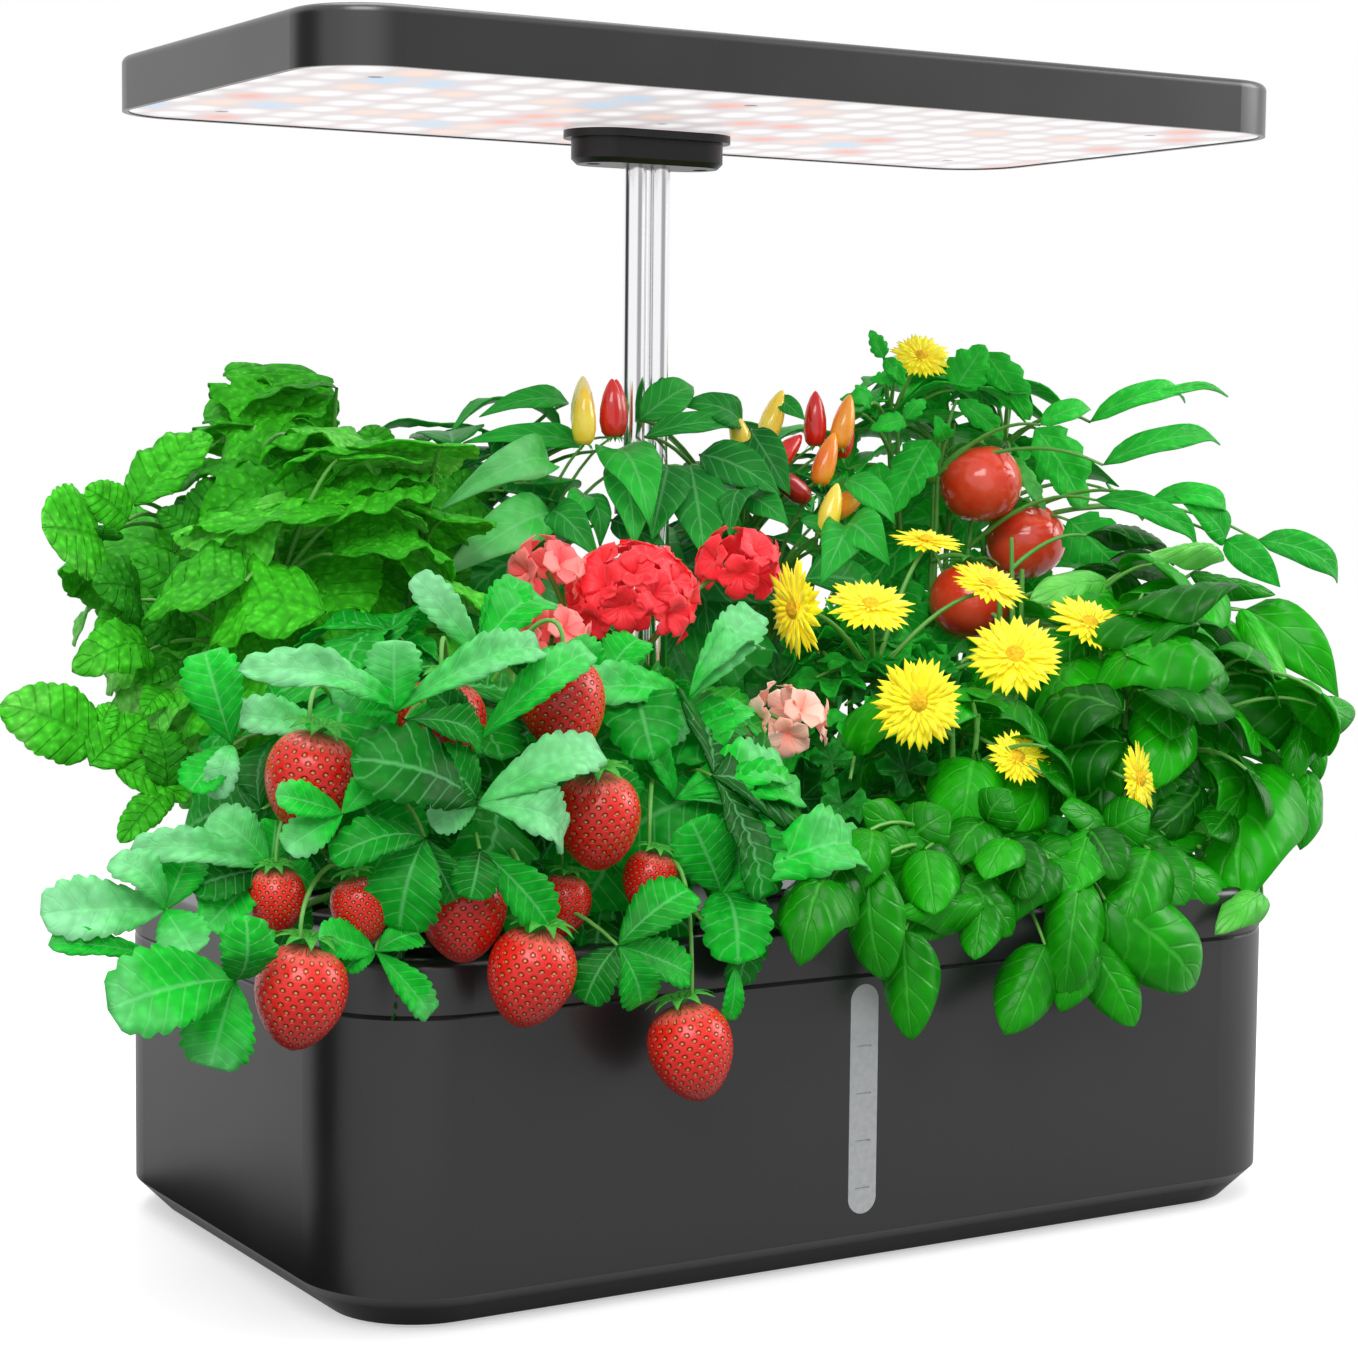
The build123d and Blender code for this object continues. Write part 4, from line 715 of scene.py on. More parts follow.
def shape_blade(
    name,
    width,
    foot_power,
    tip_power,
    rows=14,
    columns=4,
    teeth=0,
    tooth=0.0,
    fold=0.0,
    cup=0.0,
    arch=0.1,
    wave=0.0,
    waves=2.0,
    quilt=(0, 1.0, 0.0),
):
    """A blade one unit long, its foot at the origin and its tip on X, modelled from a grid.
    width is its widest half; tooth, fold, cup, arch and wave are shares of the length. Each edge has
    this many rounded teeth. quilt is the number of side veins, how far they sweep forward, and how far
    the skin swells between them."""
    pairs, sweep, swell = quilt
    blade = start_blade(name, rows, columns)
    mesh = blade.data
    narrowest = 0.02
    for vertex in mesh.vertices:
        share = (vertex.co.x + 1) / 2
        side = vertex.co.y
        half = max(outline_width(share, foot_power, tip_power), narrowest) * width
        reach = half * side
        forward = 0.0
        if teeth and abs(side) > 0.99:
            bulge = abs(sin(pi * teeth * share))
            reach += tooth * (2 * bulge - 1) * side * min(1.0, half / width)
            forward = tooth * 0.8 * bulge
        fullness = half / width
        lift = arch * 4 * share * (1 - share) + fold * abs(reach) - cup * reach**2 / width
        lift += wave * side**2 * sin(2 * pi * waves * share + (0.8 if side > 0 else 0.0)) * fullness
        between_veins = abs(sin(pi * (pairs * share + 0.5 - sweep * abs(side))))
        lift += swell * between_veins * (1 - side**4) * fullness
        vertex.co = Vector((share + forward, reach, lift))
    finish_blade(blade)
    return mesh


def shape_fan(name, lobes, lobe_depth, scallops, scallop_depth, spread=150, cup=0.25, ripple=0.06):
    """A round leaf one unit long whose blade fans out from its centre, where its stalk ends, by spread
    degrees to each side. It is modelled from a grid."""
    rows, columns = 4, scallops * 2
    centre = 0.48
    full_radius = 0.52
    blade = start_blade(name, rows, columns)
    mesh = blade.data
    for vertex in mesh.vertices:
        share = (vertex.co.x + 1) / 2
        turn = vertex.co.y * radians(spread)
        column = round((vertex.co.y + 1) / 2 * columns)
        rim = 1 - lobe_depth * (0.5 - 0.5 * cos(turn * lobes * pi / radians(spread)))
        if share > 0.99:
            rim *= 1 + (scallop_depth if column % 2 else -scallop_depth)
        radius = full_radius * (share**0.9) * rim
        lift = cup * radius * share - ripple * sin(turn * lobes * pi / radians(spread) + 1.0) * share**2
        vertex.co = Vector((centre + radius * cos(turn), radius * sin(turn), lift))
    finish_blade(blade)
    return mesh


def finish_blade(blade):
    """Give the blade its thickness and a smooth shade, then take it out of the scene."""
    skin = blade.modifiers.new("thickness", "SOLIDIFY")
    skin.thickness = blade_thickness
    skin.offset = 0
    bpy.ops.object.modifier_apply(modifier="thickness")
    bpy.ops.object.shade_smooth()
    tint = blade.data.attributes.new("tint", "FLOAT", "POINT")
    tint.data.foreach_set("value", [0.5] * len(blade.data.vertices))
    bpy.data.objects.remove(blade)


def span_of(blade):
    """Width of a blade one unit long."""
    return 2 * max(abs(vertex.co.y) for vertex in blade.vertices)


def set_of_blades(name, variants, **form):
    """Blades of one kind that differ in how they arch and wave."""
    made = []
    for number, change in enumerate(variants):
        made.append(shape_blade(f"{name}_{number}", **{**form, **change}))
    return made


def compound(name, parts):
    """One leaf mesh from several leaflets, each (blade, foot, length, turn about Z, dip)."""
    pieces = []
    for blade, foot, length, turn, dip in parts:
        piece = bpy.data.objects.new(name, blade.copy())
        bpy.context.collection.objects.link(piece)
        heading = Matrix.Rotation(turn, 4, "Z") @ Matrix.Rotation(dip, 4, "Y")
        size = Matrix.Diagonal((length,) * 3).to_4x4()
        piece.data.transform(Matrix.Translation(Vector(foot)) @ heading @ size)
        pieces.append(piece)
    whole = join(pieces, name)
    mesh = whole.data
    bpy.data.objects.remove(whole)
    return mesh


def join(pieces, name):
    """Join objects into the first one."""
    bpy.ops.object.select_all(action="DESELECT")
    for piece in pieces:
        piece.select_set(True)
    bpy.context.view_layer.objects.active = pieces[0]
    if len(pieces) > 1:
        bpy.ops.object.join()
    whole = bpy.context.object
    whole.name = name
    bpy.ops.object.select_all(action="DESELECT")
    return whole


# ---------------------------------------------------------------- growing a plant
class Plant:
    """A plant as it grows: its leaves, the stalks that carry them, and the roots, the places on its
    stems that new stalks spring from."""

    def __init__(self, name, leaf_skin, stalk_skin, seed):
        self.name = name
        self.leaf_skin = leaf_skin
        self.stalk_skin = stalk_skin
        self.chance = random.Random(seed)
        self.leaves = []
        self.roots = []
        self.stalks = bpy.data.curves.new(f"{name}_stalks", "CURVE")
        self.stalks.dimensions = "3D"
        self.stalks.bevel_depth = 1.0
        self.stalks.bevel_resolution = 1
        self.stalks.resolution_u = 5

    def leaf(self, form, foot, tip, face, breadth, tint, bow):
        """A leaf from foot to tip whose upper side looks towards face. breadth and bow are its width
        and its arch against those of its form."""
        run = tip - foot
        length = run.length
        ahead = run.normalized()
        across = face.cross(ahead)
        nearly_none = 1e-4
        across = across.normalized() if across.length > nearly_none else Vector((0, 1, 0))
        above = ahead.cross(across)
        turn = Matrix((ahead, across, above)).transposed().to_4x4()
        size = Matrix.Diagonal((length, length * breadth, length * bow, 1))
        piece = bpy.data.objects.new(self.name, form.copy())
        piece.data.transform(Matrix.Translation(foot) @ turn @ size)
        piece.data.attributes["tint"].data.foreach_set("value", [tint] * len(piece.data.vertices))
        piece.data.materials.clear()
        piece.data.materials.append(self.leaf_skin)
        bpy.context.collection.objects.link(piece)
        self.leaves.append(piece)

    def stalk(self, points, radii):
        """A stalk through the points, with a radius in millimetres at each."""
        spline = self.stalks.splines.new("NURBS")
        spline.points.add(len(points) - 1)
        spline.use_endpoint_u = True
        spline.order_u = min(3, len(points))
        for knot, point, radius in zip(spline.points, points, radii):
            knot.co = (*point, 1)
            knot.radius = radius * mm
        spline.use_smooth = True

    def petiole(self, root, foot, radius):
        """A leaf's stalk: it leaves its root upwards, bends over and ends at the foot of the blade.
        radius is in millimetres."""
        rise = 0.25 * (foot - root).length
        knee = root.lerp(foot, 0.55) + Vector((0, 0, rise))
        self.stalk((root, knee, foot), (radius * 1.3, radius, radius * 0.7))

    def rooted(self, foot, radius=0.9):
        """A stalk for this leaf foot, from the nearest place on the plant's stems."""
        root = min(self.roots, key=lambda spot: (spot - foot).length + max(0, spot.z - foot.z))
        self.petiole(root, foot, radius)

    def shown(self, form, groups, depth, slope, row=700):
        """Leaves as they show in the picture frame. Each group is the place where its stalk ends, and
        then each leaf's tip, its width there and its tint. The plane of a leaf's foot and tip is
        Y = depth millimetres in this row of the frame, and comes nearer by slope for each row below.
        A leaf that shows wider than it is long points towards the eye."""
        upward = Vector((0, 0, 0.5))

        def place(across, down):
            return seen_at(across, down, depth + slope * (down - row))

        for start, *leaves in groups:
            foot = place(*start)
            self.rooted(foot)
            for tip_across, tip_down, wide, tint in leaves:
                tip = place(tip_across, tip_down)
                towards = (view_place - tip).normalized()
                blade = self.chance.choice(form)
                full_width = wide * (view_place - tip).length / focal_pixels
                true_length = full_width / span_of(blade)
                length = (tip - foot).length
                if true_length > length:
                    tip += towards * min(sqrt(true_length**2 - length**2), length * 0.9)
                breadth = true_length / (tip - foot).length
                sideways = view_right * self.chance.uniform(-0.35, 0.35)
                face = (towards + upward + sideways).normalized()
                self.leaf(blade, foot, tip, face, breadth, tint, self.chance.uniform(0.7, 1.4))

    def finish(self, node):
        """Join leaves and stalks into the piece that stands for the CAD node."""
        stems = bpy.data.objects.new(f"{self.name}_stalks", self.stalks)
        bpy.context.collection.objects.link(stems)
        bpy.ops.object.select_all(action="DESELECT")
        stems.select_set(True)
        bpy.context.view_layer.objects.active = stems
        bpy.ops.object.convert(target="MESH")
        stems = bpy.context.object
        stems.data.materials.clear()
        stems.data.materials.append(self.stalk_skin)
        whole = join([*self.leaves, stems], self.name)
        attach(whole, "deck")
        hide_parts(node)


def islands_of(node):
    """The points of each separate solid in a CAD node, from left to right."""
    net = bmesh.new()
    net.from_mesh(frame["nodes"][node].data)
    bmesh.ops.remove_doubles(net, verts=net.verts, dist=1e-6)
    left = set(net.verts)
    islands = []
    while left:
        front = [left.pop()]
        points = [front[0].co.copy()]
        while front:
            for edge in front.pop().link_edges:
                for other in edge.verts:
                    if other in left:
                        left.remove(other)
                        front.append(other)
                        points.append(other.co.copy())
        islands.append(points)
    net.free()
    return sorted(islands, key=lambda points: tuple(round(min(p[i] for p in points), 5) for i in range(3)))


def solids_of(node):
    """Lowest and highest corners of each separate solid in a CAD node, from left to right."""
    return [
        tuple(Vector([choose(point[i] for point in points) for i in range(3)]) for choose in (min, max))
        for points in islands_of(node)
    ]


def middle_of(corners):
    """Middle of a solid from its lowest and highest corners."""
    low, high = corners
    return (low + high) / 2


def long_axis(points):
    """Middle of a tapered solid, and its long axis towards the narrow end."""
    middle = sum(points, Vector()) / len(points)
    axis = max(points, key=lambda point: (point - middle).length) - middle
    offsets = [point - middle for point in points]
    for _ in range(12):
        axis = sum((offset * offset.dot(axis) for offset in offsets), Vector()).normalized()

    def girth(end):
        """How thick the solid is towards this end, past 5 mm from its middle."""
        beyond = [offset for offset in offsets if offset.dot(end) > 5 * mm]
        return sum((offset - end * offset.dot(end)).length for offset in beyond) / len(beyond)

    return middle, axis if girth(axis) < girth(-axis) else -axis


# the pods by column, from the left, and row, from the front: the middle of each basket's top
pods = {}
for number in range(1, 13):
    low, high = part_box(f"basket_{number:02d}")
    row, column = divmod(number - 1, 4)
    pods[column, row] = Vector(((low.x + high.x) / 2, (low.y + high.y) / 2, high.z))
deck_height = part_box("basket_01")[1].z
vine_height = 300 * mm  # the daisy above this height stands on the tomato plant
golden_angle = pi * (3 - sqrt(5))  # the turn from one leaf to the next
wall_side = 116 * mm  # leaf feet and tips stay in front of this, so that the back can stand near a wall

# the space that the refill hatch needs to open
hatch_half_width = 34 * mm
hatch_front = -86 * mm
hatch_back = -34 * mm
hatch_swing_top = 172 * mm


def near_hatch(point):
    """True over the refill hatch, where leaves would stop it from opening."""
    beside = abs(point.x) < hatch_half_width
    return beside and hatch_front < point.y < hatch_back and point.z < hatch_swing_top


# middle and radius of each fruit and flower head that leaves may not hide
fruit_places = [
    ((low + high) / 2, max(high.x - low.x, high.z - low.z) / 2)
    for node in ("tomatoes", "peppers", "daisy_flowers", "geranium_flowers")
    for low, high in solids_of(node)
]


def hides_fruit(foot, tip, half_width):
    """True where a leaf would show in front of a fruit or a flower, from where the camera stands."""
    for place, radius in fruit_places:
        sight = place - view_place
        distance = sight.length
        sight.normalize()
        for share in (0.2, 0.5, 0.8, 1.0):
            offset = foot.lerp(tip, share) - view_place
            ahead = offset.dot(sight)
            if ahead < distance and (offset - sight * ahead).length < radius + half_width:
                return True
    return False


def canopy(
    plant,
    pod,
    forms,
    count,
    reach,
    heights,
    leaf_length,
    breadth=1.0,
    droop=0.2,
    stems=5,
    tints=(0.0, 0.9),
):
    """Fill a dome round the pod with leaves. reach is left, right, front, back, and heights are lowest,
    widest and top, all in millimetres. Stems rise from the pod and the leaves spring from them."""
    chance = plant.chance
    left, right, front, back = (value * mm for value in reach)
    low, middle, top = (value * mm for value in heights)

    def outwards(turn, share):
        """How far right and back of the pod's axis, this share of the way to the dome's widest line."""
        across = share * cos(turn) * (right if cos(turn) > 0 else left)
        deep = share * sin(turn) * (back if sin(turn) > 0 else front)
        return across, deep

    for number in range(stems):
        turn = number * 2 * pi / stems + chance.uniform(-0.4, 0.4)
        lean = Vector((*outwards(turn, 1.0), 0))
        head = Vector((pod.x, pod.y, 0)) + lean * chance.uniform(0.25, 0.5)
        head.z = chance.uniform(middle, top * 0.93 + middle * 0.07)
        knee = pod.lerp(head, 0.5) + lean * 0.08
        plant.stalk((pod, knee, head), (2.0, 1.6, 0.9))
        plant.roots += [knee.lerp(head, share) for share in (0.0, 0.4, 0.8)]
    for number in range(count):
        climb = -1 + 2 * (number + 0.5) / count
        ring = sqrt(1 - climb**2)
        turn = number * golden_angle + chance.uniform(-0.3, 0.3)
        across, deep = outwards(turn, ring)
        height = middle + climb * (top - middle if climb > 0 else middle - low)
        shell = chance.uniform(0.7, 1.0)
        tip = Vector((pod.x + across * shell, pod.y + deep * shell, height + chance.uniform(-8, 8) * mm))
        outward = Vector((across, deep, (height - middle) * 0.8 + 0.001))
        outward.normalize()
        length = leaf_length * mm * chance.uniform(0.72, 1.12)
        sideways = outward.cross(Vector((0, 0, 1))) * chance.uniform(-1.0, 1.0)
        spread = 0.45 + 0.4 * max(climb, 0)
        heading = (outward * Vector((spread, spread, 0.3)) + Vector((0, 0, -droop)) + sideways).normalized()
        foot = tip - heading * length
        foot.y = min(foot.y, wall_side)
        tip.y = min(tip.y, wall_side)
        face = (outward + Vector((0, 0, 0.45 + 0.6 * max(climb, 0))) + sideways * 0.3).normalized()
        if near_hatch(foot) or near_hatch(tip) or near_hatch(foot.lerp(tip, 0.5)):
            continue
        if hides_fruit(foot, tip, length * 0.25):
            continue
        tint = chance.uniform(*tints)
        form = chance.choice(forms)
        wide = breadth * chance.uniform(0.88, 1.1)
        plant.leaf(form, foot, tip, face, wide, tint, chance.uniform(0.6, 1.5))
        plant.rooted(foot)


def shape_leaves_and_petals():
    """Leaf, petal and sepal forms, by name."""
    arches = ({"arch": 0.04}, {"arch": 0.14}, {"arch": 0.24, "wave": 0.05})
    forms = {}
    forms["mint"] = set_of_blades(
        "mint_blade",
        arches,
        width=0.43,
        foot_power=0.42,
        tip_power=0.62,
        rows=27,
        columns=6,
        teeth=9,
        tooth=0.014,
        fold=0.12,
        wave=0.03,
        waves=3.0,
        quilt=(7, 1.1, 0.05),
    )
    leaflet = {
        "width": 0.4,
        "foot_power": 0.85,
        "tip_power": 0.42,
        "rows": 24,
        "teeth": 8,
        "tooth": 0.03,
        "fold": 0.18,
        "wave": 0.02,
        "waves": 2.0,
        "quilt": (8, 1.3, 0.04),
    }
    forms["berry_leaflet"] = set_of_blades("berry_leaflet", arches, columns=6, **leaflet)
    forms["strawberry"] = [
        compound(
            f"strawberry_leaf_{number}",
            (
                (blade, (0, 0, 0), 1.0, 0.0, dip),
                (blade, (0.02, 0.02, 0), 0.86, radians(72 + 6 * number), dip + 0.12),
                (blade, (0.02, -0.02, 0), 0.86, radians(-72 - 6 * number), dip + 0.12),
            ),
        )
        for number, (blade, dip) in enumerate(
            zip(set_of_blades("berry_blade", arches, columns=4, **leaflet), (0.0, 0.05, 0.1))
        )
    ]
    forms["pepper"] = set_of_blades(
        "pepper_blade",
        arches,
        width=0.25,
        foot_power=0.6,
        tip_power=1.05,
        rows=12,
        columns=6,
        fold=0.2,
        wave=0.025,
        waves=1.5,
        quilt=(6, 1.6, 0.012),
    )
    forms["arched"] = set_of_blades(
        "arched_blade",
        ({"arch": 0.2}, {"arch": 0.28}),
        width=0.22,
        foot_power=0.55,
        tip_power=1.0,
        rows=14,
        columns=4,
        fold=0.2,
        wave=0.03,
        waves=1.5,
        quilt=(6, 1.6, 0.01),
    )
    forms["basil"] = set_of_blades(
        "basil_blade",
        arches,
        width=0.36,
        foot_power=0.5,
        tip_power=0.72,
        rows=20,
        columns=8,
        fold=0.16,
        cup=0.6,
        wave=0.03,
        waves=1.5,
        quilt=(5, 1.4, 0.04),
    )
    forms["tomato_leaflet"] = set_of_blades(
        "tomato_leaflet",
        arches,
        width=0.3,
        foot_power=0.5,
        tip_power=0.9,
        rows=12,
        columns=4,
        teeth=4,
        tooth=0.04,
        fold=0.15,
        wave=0.04,
        quilt=(5, 1.3, 0.02),
    )
    forms["tomato"] = [
        compound(
            f"tomato_leaf_{number}",
            (
                (leaflet, (0.55, 0, 0), 0.45, 0.0, 0.15),
                (leaflet, (0.52, 0.01, 0), 0.34, radians(62), 0.2),
                (leaflet, (0.52, -0.01, 0), 0.34, radians(-62), 0.2),
                (leaflet, (0.26, 0.01, 0), 0.26, radians(70), 0.2),
                (leaflet, (0.26, -0.01, 0), 0.26, radians(-70), 0.2),
                (leaflet, (0.0, 0, 0), 0.58, 0.0, -0.02),
            ),
        )
        for number, leaflet in enumerate(forms["tomato_leaflet"])
    ]
    forms["geranium"] = [shape_fan("geranium_blade", 7, 0.12, 18, 0.03, cup=0.25, ripple=0.05)]
    forms["daisy"] = [
        shape_fan("daisy_blade_0", 5, 0.38, 14, 0.05, spread=130, cup=0.1, ripple=0.1),
        shape_fan("daisy_blade_1", 5, 0.30, 14, 0.06, spread=140, cup=0.3, ripple=0.12),
    ]
    forms["ray"] = shape_blade("daisy_ray", 0.095, 0.35, 0.2, rows=4, columns=2, arch=0.06, fold=-0.2)
    petal = {"rows": 5, "columns": 4}
    forms["floret"] = [
        shape_blade("floret_petal", 0.40, 0.75, 0.30, arch=0.12, cup=-0.3, wave=0.05, **petal),
        shape_blade("floret_petal_ruffled", 0.42, 0.8, 0.28, arch=0.2, cup=-0.2, wave=0.09, **petal),
    ]
    forms["sepal"] = shape_blade("sepal", 0.20, 0.5, 1.0, rows=5, columns=2, arch=0.22, fold=0.2)
    return forms


forms = shape_leaves_and_petals()

# Lemon balm: wrinkled matt leaves, quilted between sunken veins, whose dark colour is a painted shade in
# them.
mint_leaf = leaf_finish(
    "lemon balm leaf",
    deep="12620C",
    fresh="40C41E",
    pale="8CDA6C",
    vein="12560C",
    pairs=7,
    sweep=1.1,
    cell=2.6,
    relief=0.9,
    roughness=0.55,
    vein_share=0.25,
    painted_cell_highlight=0.2,
    net=0.5,
)
# Strawberry: pleated leaves, bright green with a painted pale sheen between the veins.
strawberry_leaf = leaf_finish(
    "strawberry leaf",
    deep="044A0A",
    fresh="12B82A",
    pale="86D498",
    vein="7CD68A",
    pairs=8,
    sweep=1.3,
    cell=3.2,
    relief=0.25,
    vein_share=0.3,
    painted_cell_highlight=0.04,
    tip_light=0.5,
    net=0.3,
)
# Garden geranium: soft round leaves with veins that fan from the stalk.
geranium_leaf = leaf_finish(
    "geranium leaf",
    deep="0A5210",
    fresh="22A422",
    pale="8FCF7A",
    vein="4FA748",
    pairs=9,
    cell=2.5,
    roughness=0.6,
    vein_share=0.3,
    fan=True,
)
# Ornamental pepper: smooth leaves with a low shine.
pepper_leaf = leaf_finish(
    "pepper leaf",
    deep="0E5A20",
    fresh="28AE34",
    pale="8CCF92",
    vein="7CC886",
    sweep=1.6,
    cell=5.0,
    relief=0.2,
    vein_share=0.3,
    painted_cell_highlight=0.05,
    net=0.2,
)
# Daisy bush: lobed crisp leaves.
daisy_leaf = leaf_finish(
    "daisy leaf",
    deep="06420E",
    fresh="1CA828",
    pale="63D66A",
    vein="4FBE58",
    pairs=7,
    cell=2.6,
    roughness=0.48,
    vein_share=0.25,
    fan=True,
)
# Tomato: soft leaves, thinly hairy, so matt.
tomato_leaf = leaf_finish(
    "tomato leaf",
    deep="0A701A",
    fresh="22C030",
    pale="8CDB88",
    vein="6FD070",
    cell=3.2,
    relief=0.35,
    roughness=0.45,
    vein_share=0.35,
    net=0.3,
)
# Basil: glossy bright leaves that swell between the veins.
basil_leaf = leaf_finish(
    "basil leaf",
    deep="045204",
    fresh="1CAE08",
    pale="86DC6E",
    vein="5CCB4C",
    pairs=5,
    cell=7.0,
    relief=0.6,
    roughness=0.3,
    vein_share=0.25,
    painted_cell_highlight=0.04,
    shine=0.16,
    net=0.25,
)
# Sepals at the neck of a fruit: small and pale green.
calyx_skin = leaf_finish(
    "calyx",
    deep="2A8A2A",
    fresh="5CC04A",
    pale="8FDB7A",
    vein="8FDB7A",
    pairs=3,
    sweep=1.5,
    cell=2.0,
    relief=0.2,
    roughness=0.5,
    vein_share=0.3,
)
green_stalk = stalk_finish("green stalk", "3E8A2A", "7CC25A")


# ---------------------------------------------------------------- plants in their pods
# The leaves that show at the front, in groups: where the group's stalk ends in the picture frame,
# and then each leaf's tip, width and tint. The tint follows how light each leaf shows, so besides the
# leaf's own green it carries painted light and shade, and above 1 a painted pale sheen.
balm_leaves = (
    ((102, 540), (42, 528, 105, 1.0), (105, 525, 40, 0.2)),
    ((128, 520), (85, 488, 50, 0.95)),
    ((135, 505), (208, 434, 60, 0.9)),
    ((308, 475), (268, 408, 60, 0.35), (418, 468, 70, 0.8), (195, 540, 80, 0.5)),
    ((330, 505), (398, 575, 70, 0.9), (330, 430, 55, 0.3)),
    ((485, 510), (405, 545, 60, 0.4), (440, 480, 50, 0.2)),
    ((380, 475), (465, 500, 40, 0.25), (370, 425, 45, 0.5)),
    ((140, 600), (92, 585, 70, 0.15), (95, 640, 40, 0.5)),
    ((205, 600), (132, 560, 55, 0.3), (240, 540, 50, 0.1)),
    ((195, 640), (125, 615, 45, 0.25)),
    ((150, 650), (72, 672, 60, 0.9)),
    ((170, 690), (143, 715, 35, 0.95)),
    ((340, 610), (205, 640, 75, 0.5), (372, 628, 60, 0.55), (290, 555, 50, 0.7)),
    ((298, 560), (255, 595, 45, 0.4)),
    ((245, 590), (208, 568, 25, 0.6)),
    ((200, 545), (158, 510, 40, 0.2), (235, 480, 60, 0.25)),
    ((440, 600), (360, 565, 35, 0.1), (455, 550, 45, 0.3)),
    ((180, 660), (135, 685, 35, 0.4), (230, 690, 50, 0.3)),
    ((95, 745), (0, 705, 85, 1.0), (113, 703, 28, 0.9)),
    ((90, 765), (145, 718, 50, 0.9)),
    ((168, 790), (155, 730, 45, 0.3), (120, 843, 40, 0.7)),
    ((115, 765), (190, 800, 35, 0.9)),
)
strawberry_leaves = (
    ((232, 745), (205, 652, 62, 0.8), (190, 792, 50, 0.8), (215, 800, 35, 1.4)),
    ((335, 735), (230, 715, 45, 1.3)),
    ((480, 655), (415, 575, 40, 1.35), (520, 580, 45, 0.9), (545, 600, 60, 1.0)),
    ((266, 870), (130, 850, 40, 1.3), (190, 890, 60, 0.1), (205, 930, 50, 0.9), (312, 890, 35, 0.8)),
    ((270, 868), (210, 815, 55, 1.2), (275, 820, 40, 0.6)),
    ((165, 910), (40, 915, 70, 1.4), (110, 860, 45, 1.25), (190, 850, 50, 0.9), (195, 955, 55, 1.1)),
    ((150, 955), (48, 945, 30, 0.8)),
    ((722, 893), (690, 820, 70, 0.6), (862, 855, 74, 1.1), (790, 840, 50, 1.0), (738, 965, 75, 0.7)),
    ((675, 800), (785, 770, 60, 1.1), (770, 818, 25, 1.2), (800, 800, 50, 0.9), (635, 733, 30, 1.0)),
    ((688, 700), (755, 612, 50, 1.25), (560, 695, 50, 1.1), (660, 745, 50, 1.2), (760, 650, 30, 1.2)),
    ((700, 745), (745, 705, 45, 0.9)),
    ((600, 690), (570, 640, 50, 0.9), (640, 640, 50, 0.8)),
    ((560, 770), (520, 745, 40, 0.3), (640, 800, 40, 0.3)),
)
strawberry_front_leaves = (
    ((396, 712), (238, 670, 45, 1.3), (540, 650, 45, 1.25), (395, 640, 60, 1.1), (330, 690, 50, 1.0)),
    ((405, 720), (470, 712, 45, 0.9), (480, 745, 45, 0.3)),
    ((480, 740), (590, 652, 45, 1.0), (430, 690, 40, 0.2)),
    ((477, 805), (350, 760, 90, 0.1), (600, 750, 55, 1.4), (562, 840, 60, 1.45), (430, 825, 40, 1.3)),
    ((477, 800), (430, 755, 60, 0.2)),
    ((425, 838), (400, 930, 80, 0.45), (330, 860, 50, 0.4), (455, 900, 40, 0.2)),
    ((480, 850), (548, 925, 55, 0.6), (470, 900, 50, 0.2)),
    ((235, 980), (108, 1010, 95, 0.95), (210, 1068, 75, 0.95), (245, 915, 60, 0.5)),
    ((376, 952), (318, 935, 45, 0.9), (420, 935, 40, 0.8), (430, 1015, 38, 0.95), (345, 970, 30, 0.5)),
    ((618, 946), (690, 890, 60, 0.5), (690, 975, 50, 0.6), (640, 1005, 50, 0.65), (585, 1003, 50, 0.2)),
    ((343, 814), (275, 795, 40, 0.9), (285, 850, 45, 1.1), (378, 775, 35, 0.9)),
    ((735, 965), (728, 1020, 22, 0.8)),
)
pepper_leaves = (
    ((568, 403), (479, 417, 28, 0.7)),
    ((583, 446), (463, 443, 28, 0.75)),
    ((550, 465), (440, 510, 45, 1.2)),
    ((551, 512), (440, 578, 55, 1.2), (600, 560, 40, 0.4)),
    ((612, 452), (650, 527, 62, 0.8)),
    ((668, 466), (652, 540, 52, 0.3)),
    ((618, 470), (634, 548, 50, 0.6)),
    ((690, 465), (705, 560, 60, 0.35)),
    ((700, 455), (780, 495, 50, 0.3)),
    ((640, 420), (693, 387, 40, 0.6)),
    ((645, 437), (735, 430, 25, 0.5)),
    ((742, 425), (677, 405, 35, 0.45)),
    ((585, 495), (565, 527, 30, 0.9), (600, 548, 30, 0.4)),
    ((612, 520), (665, 545, 35, 0.1)),
    ((750, 430), (790, 495, 40, 0.2)),
    ((748, 497), (788, 525, 35, 0.5), (730, 540, 40, 0.2)),
    ((800, 520), (850, 540, 18, 0.6)),
    ((845, 480), (895, 525, 35, 0.9)),
    ((845, 527), (890, 566, 50, 0.8), (820, 585, 45, 0.7)),
    ((778, 398), (805, 420, 20, 0.5)),
)
tomato_top_leaflets = (
    ((884, 358), (870, 330, 20, 0.8), (905, 385, 20, 0.8)),
    ((905, 420), (870, 430, 24, 0.9), (925, 400, 20, 0.7)),
    ((895, 380), (870, 380, 18, 0.8), (885, 370, 18, 0.7)),
    ((870, 405), (840, 400, 22, 0.8), (855, 385, 18, 0.9)),
    ((945, 440), (935, 415, 22, 0.9)),
    ((955, 390), (985, 345, 45, 0.9)),
    ((985, 352), (1030, 420, 40, 0.95)),
    ((957, 400), (1002, 440, 25, 0.7)),
    ((930, 440), (890, 515, 50, 0.6)),
    ((1035, 428), (1085, 510, 60, 0.95)),
    ((1068, 520), (1125, 577, 60, 0.6)),
    ((1010, 455), (1045, 510, 18, 1.2)),
)
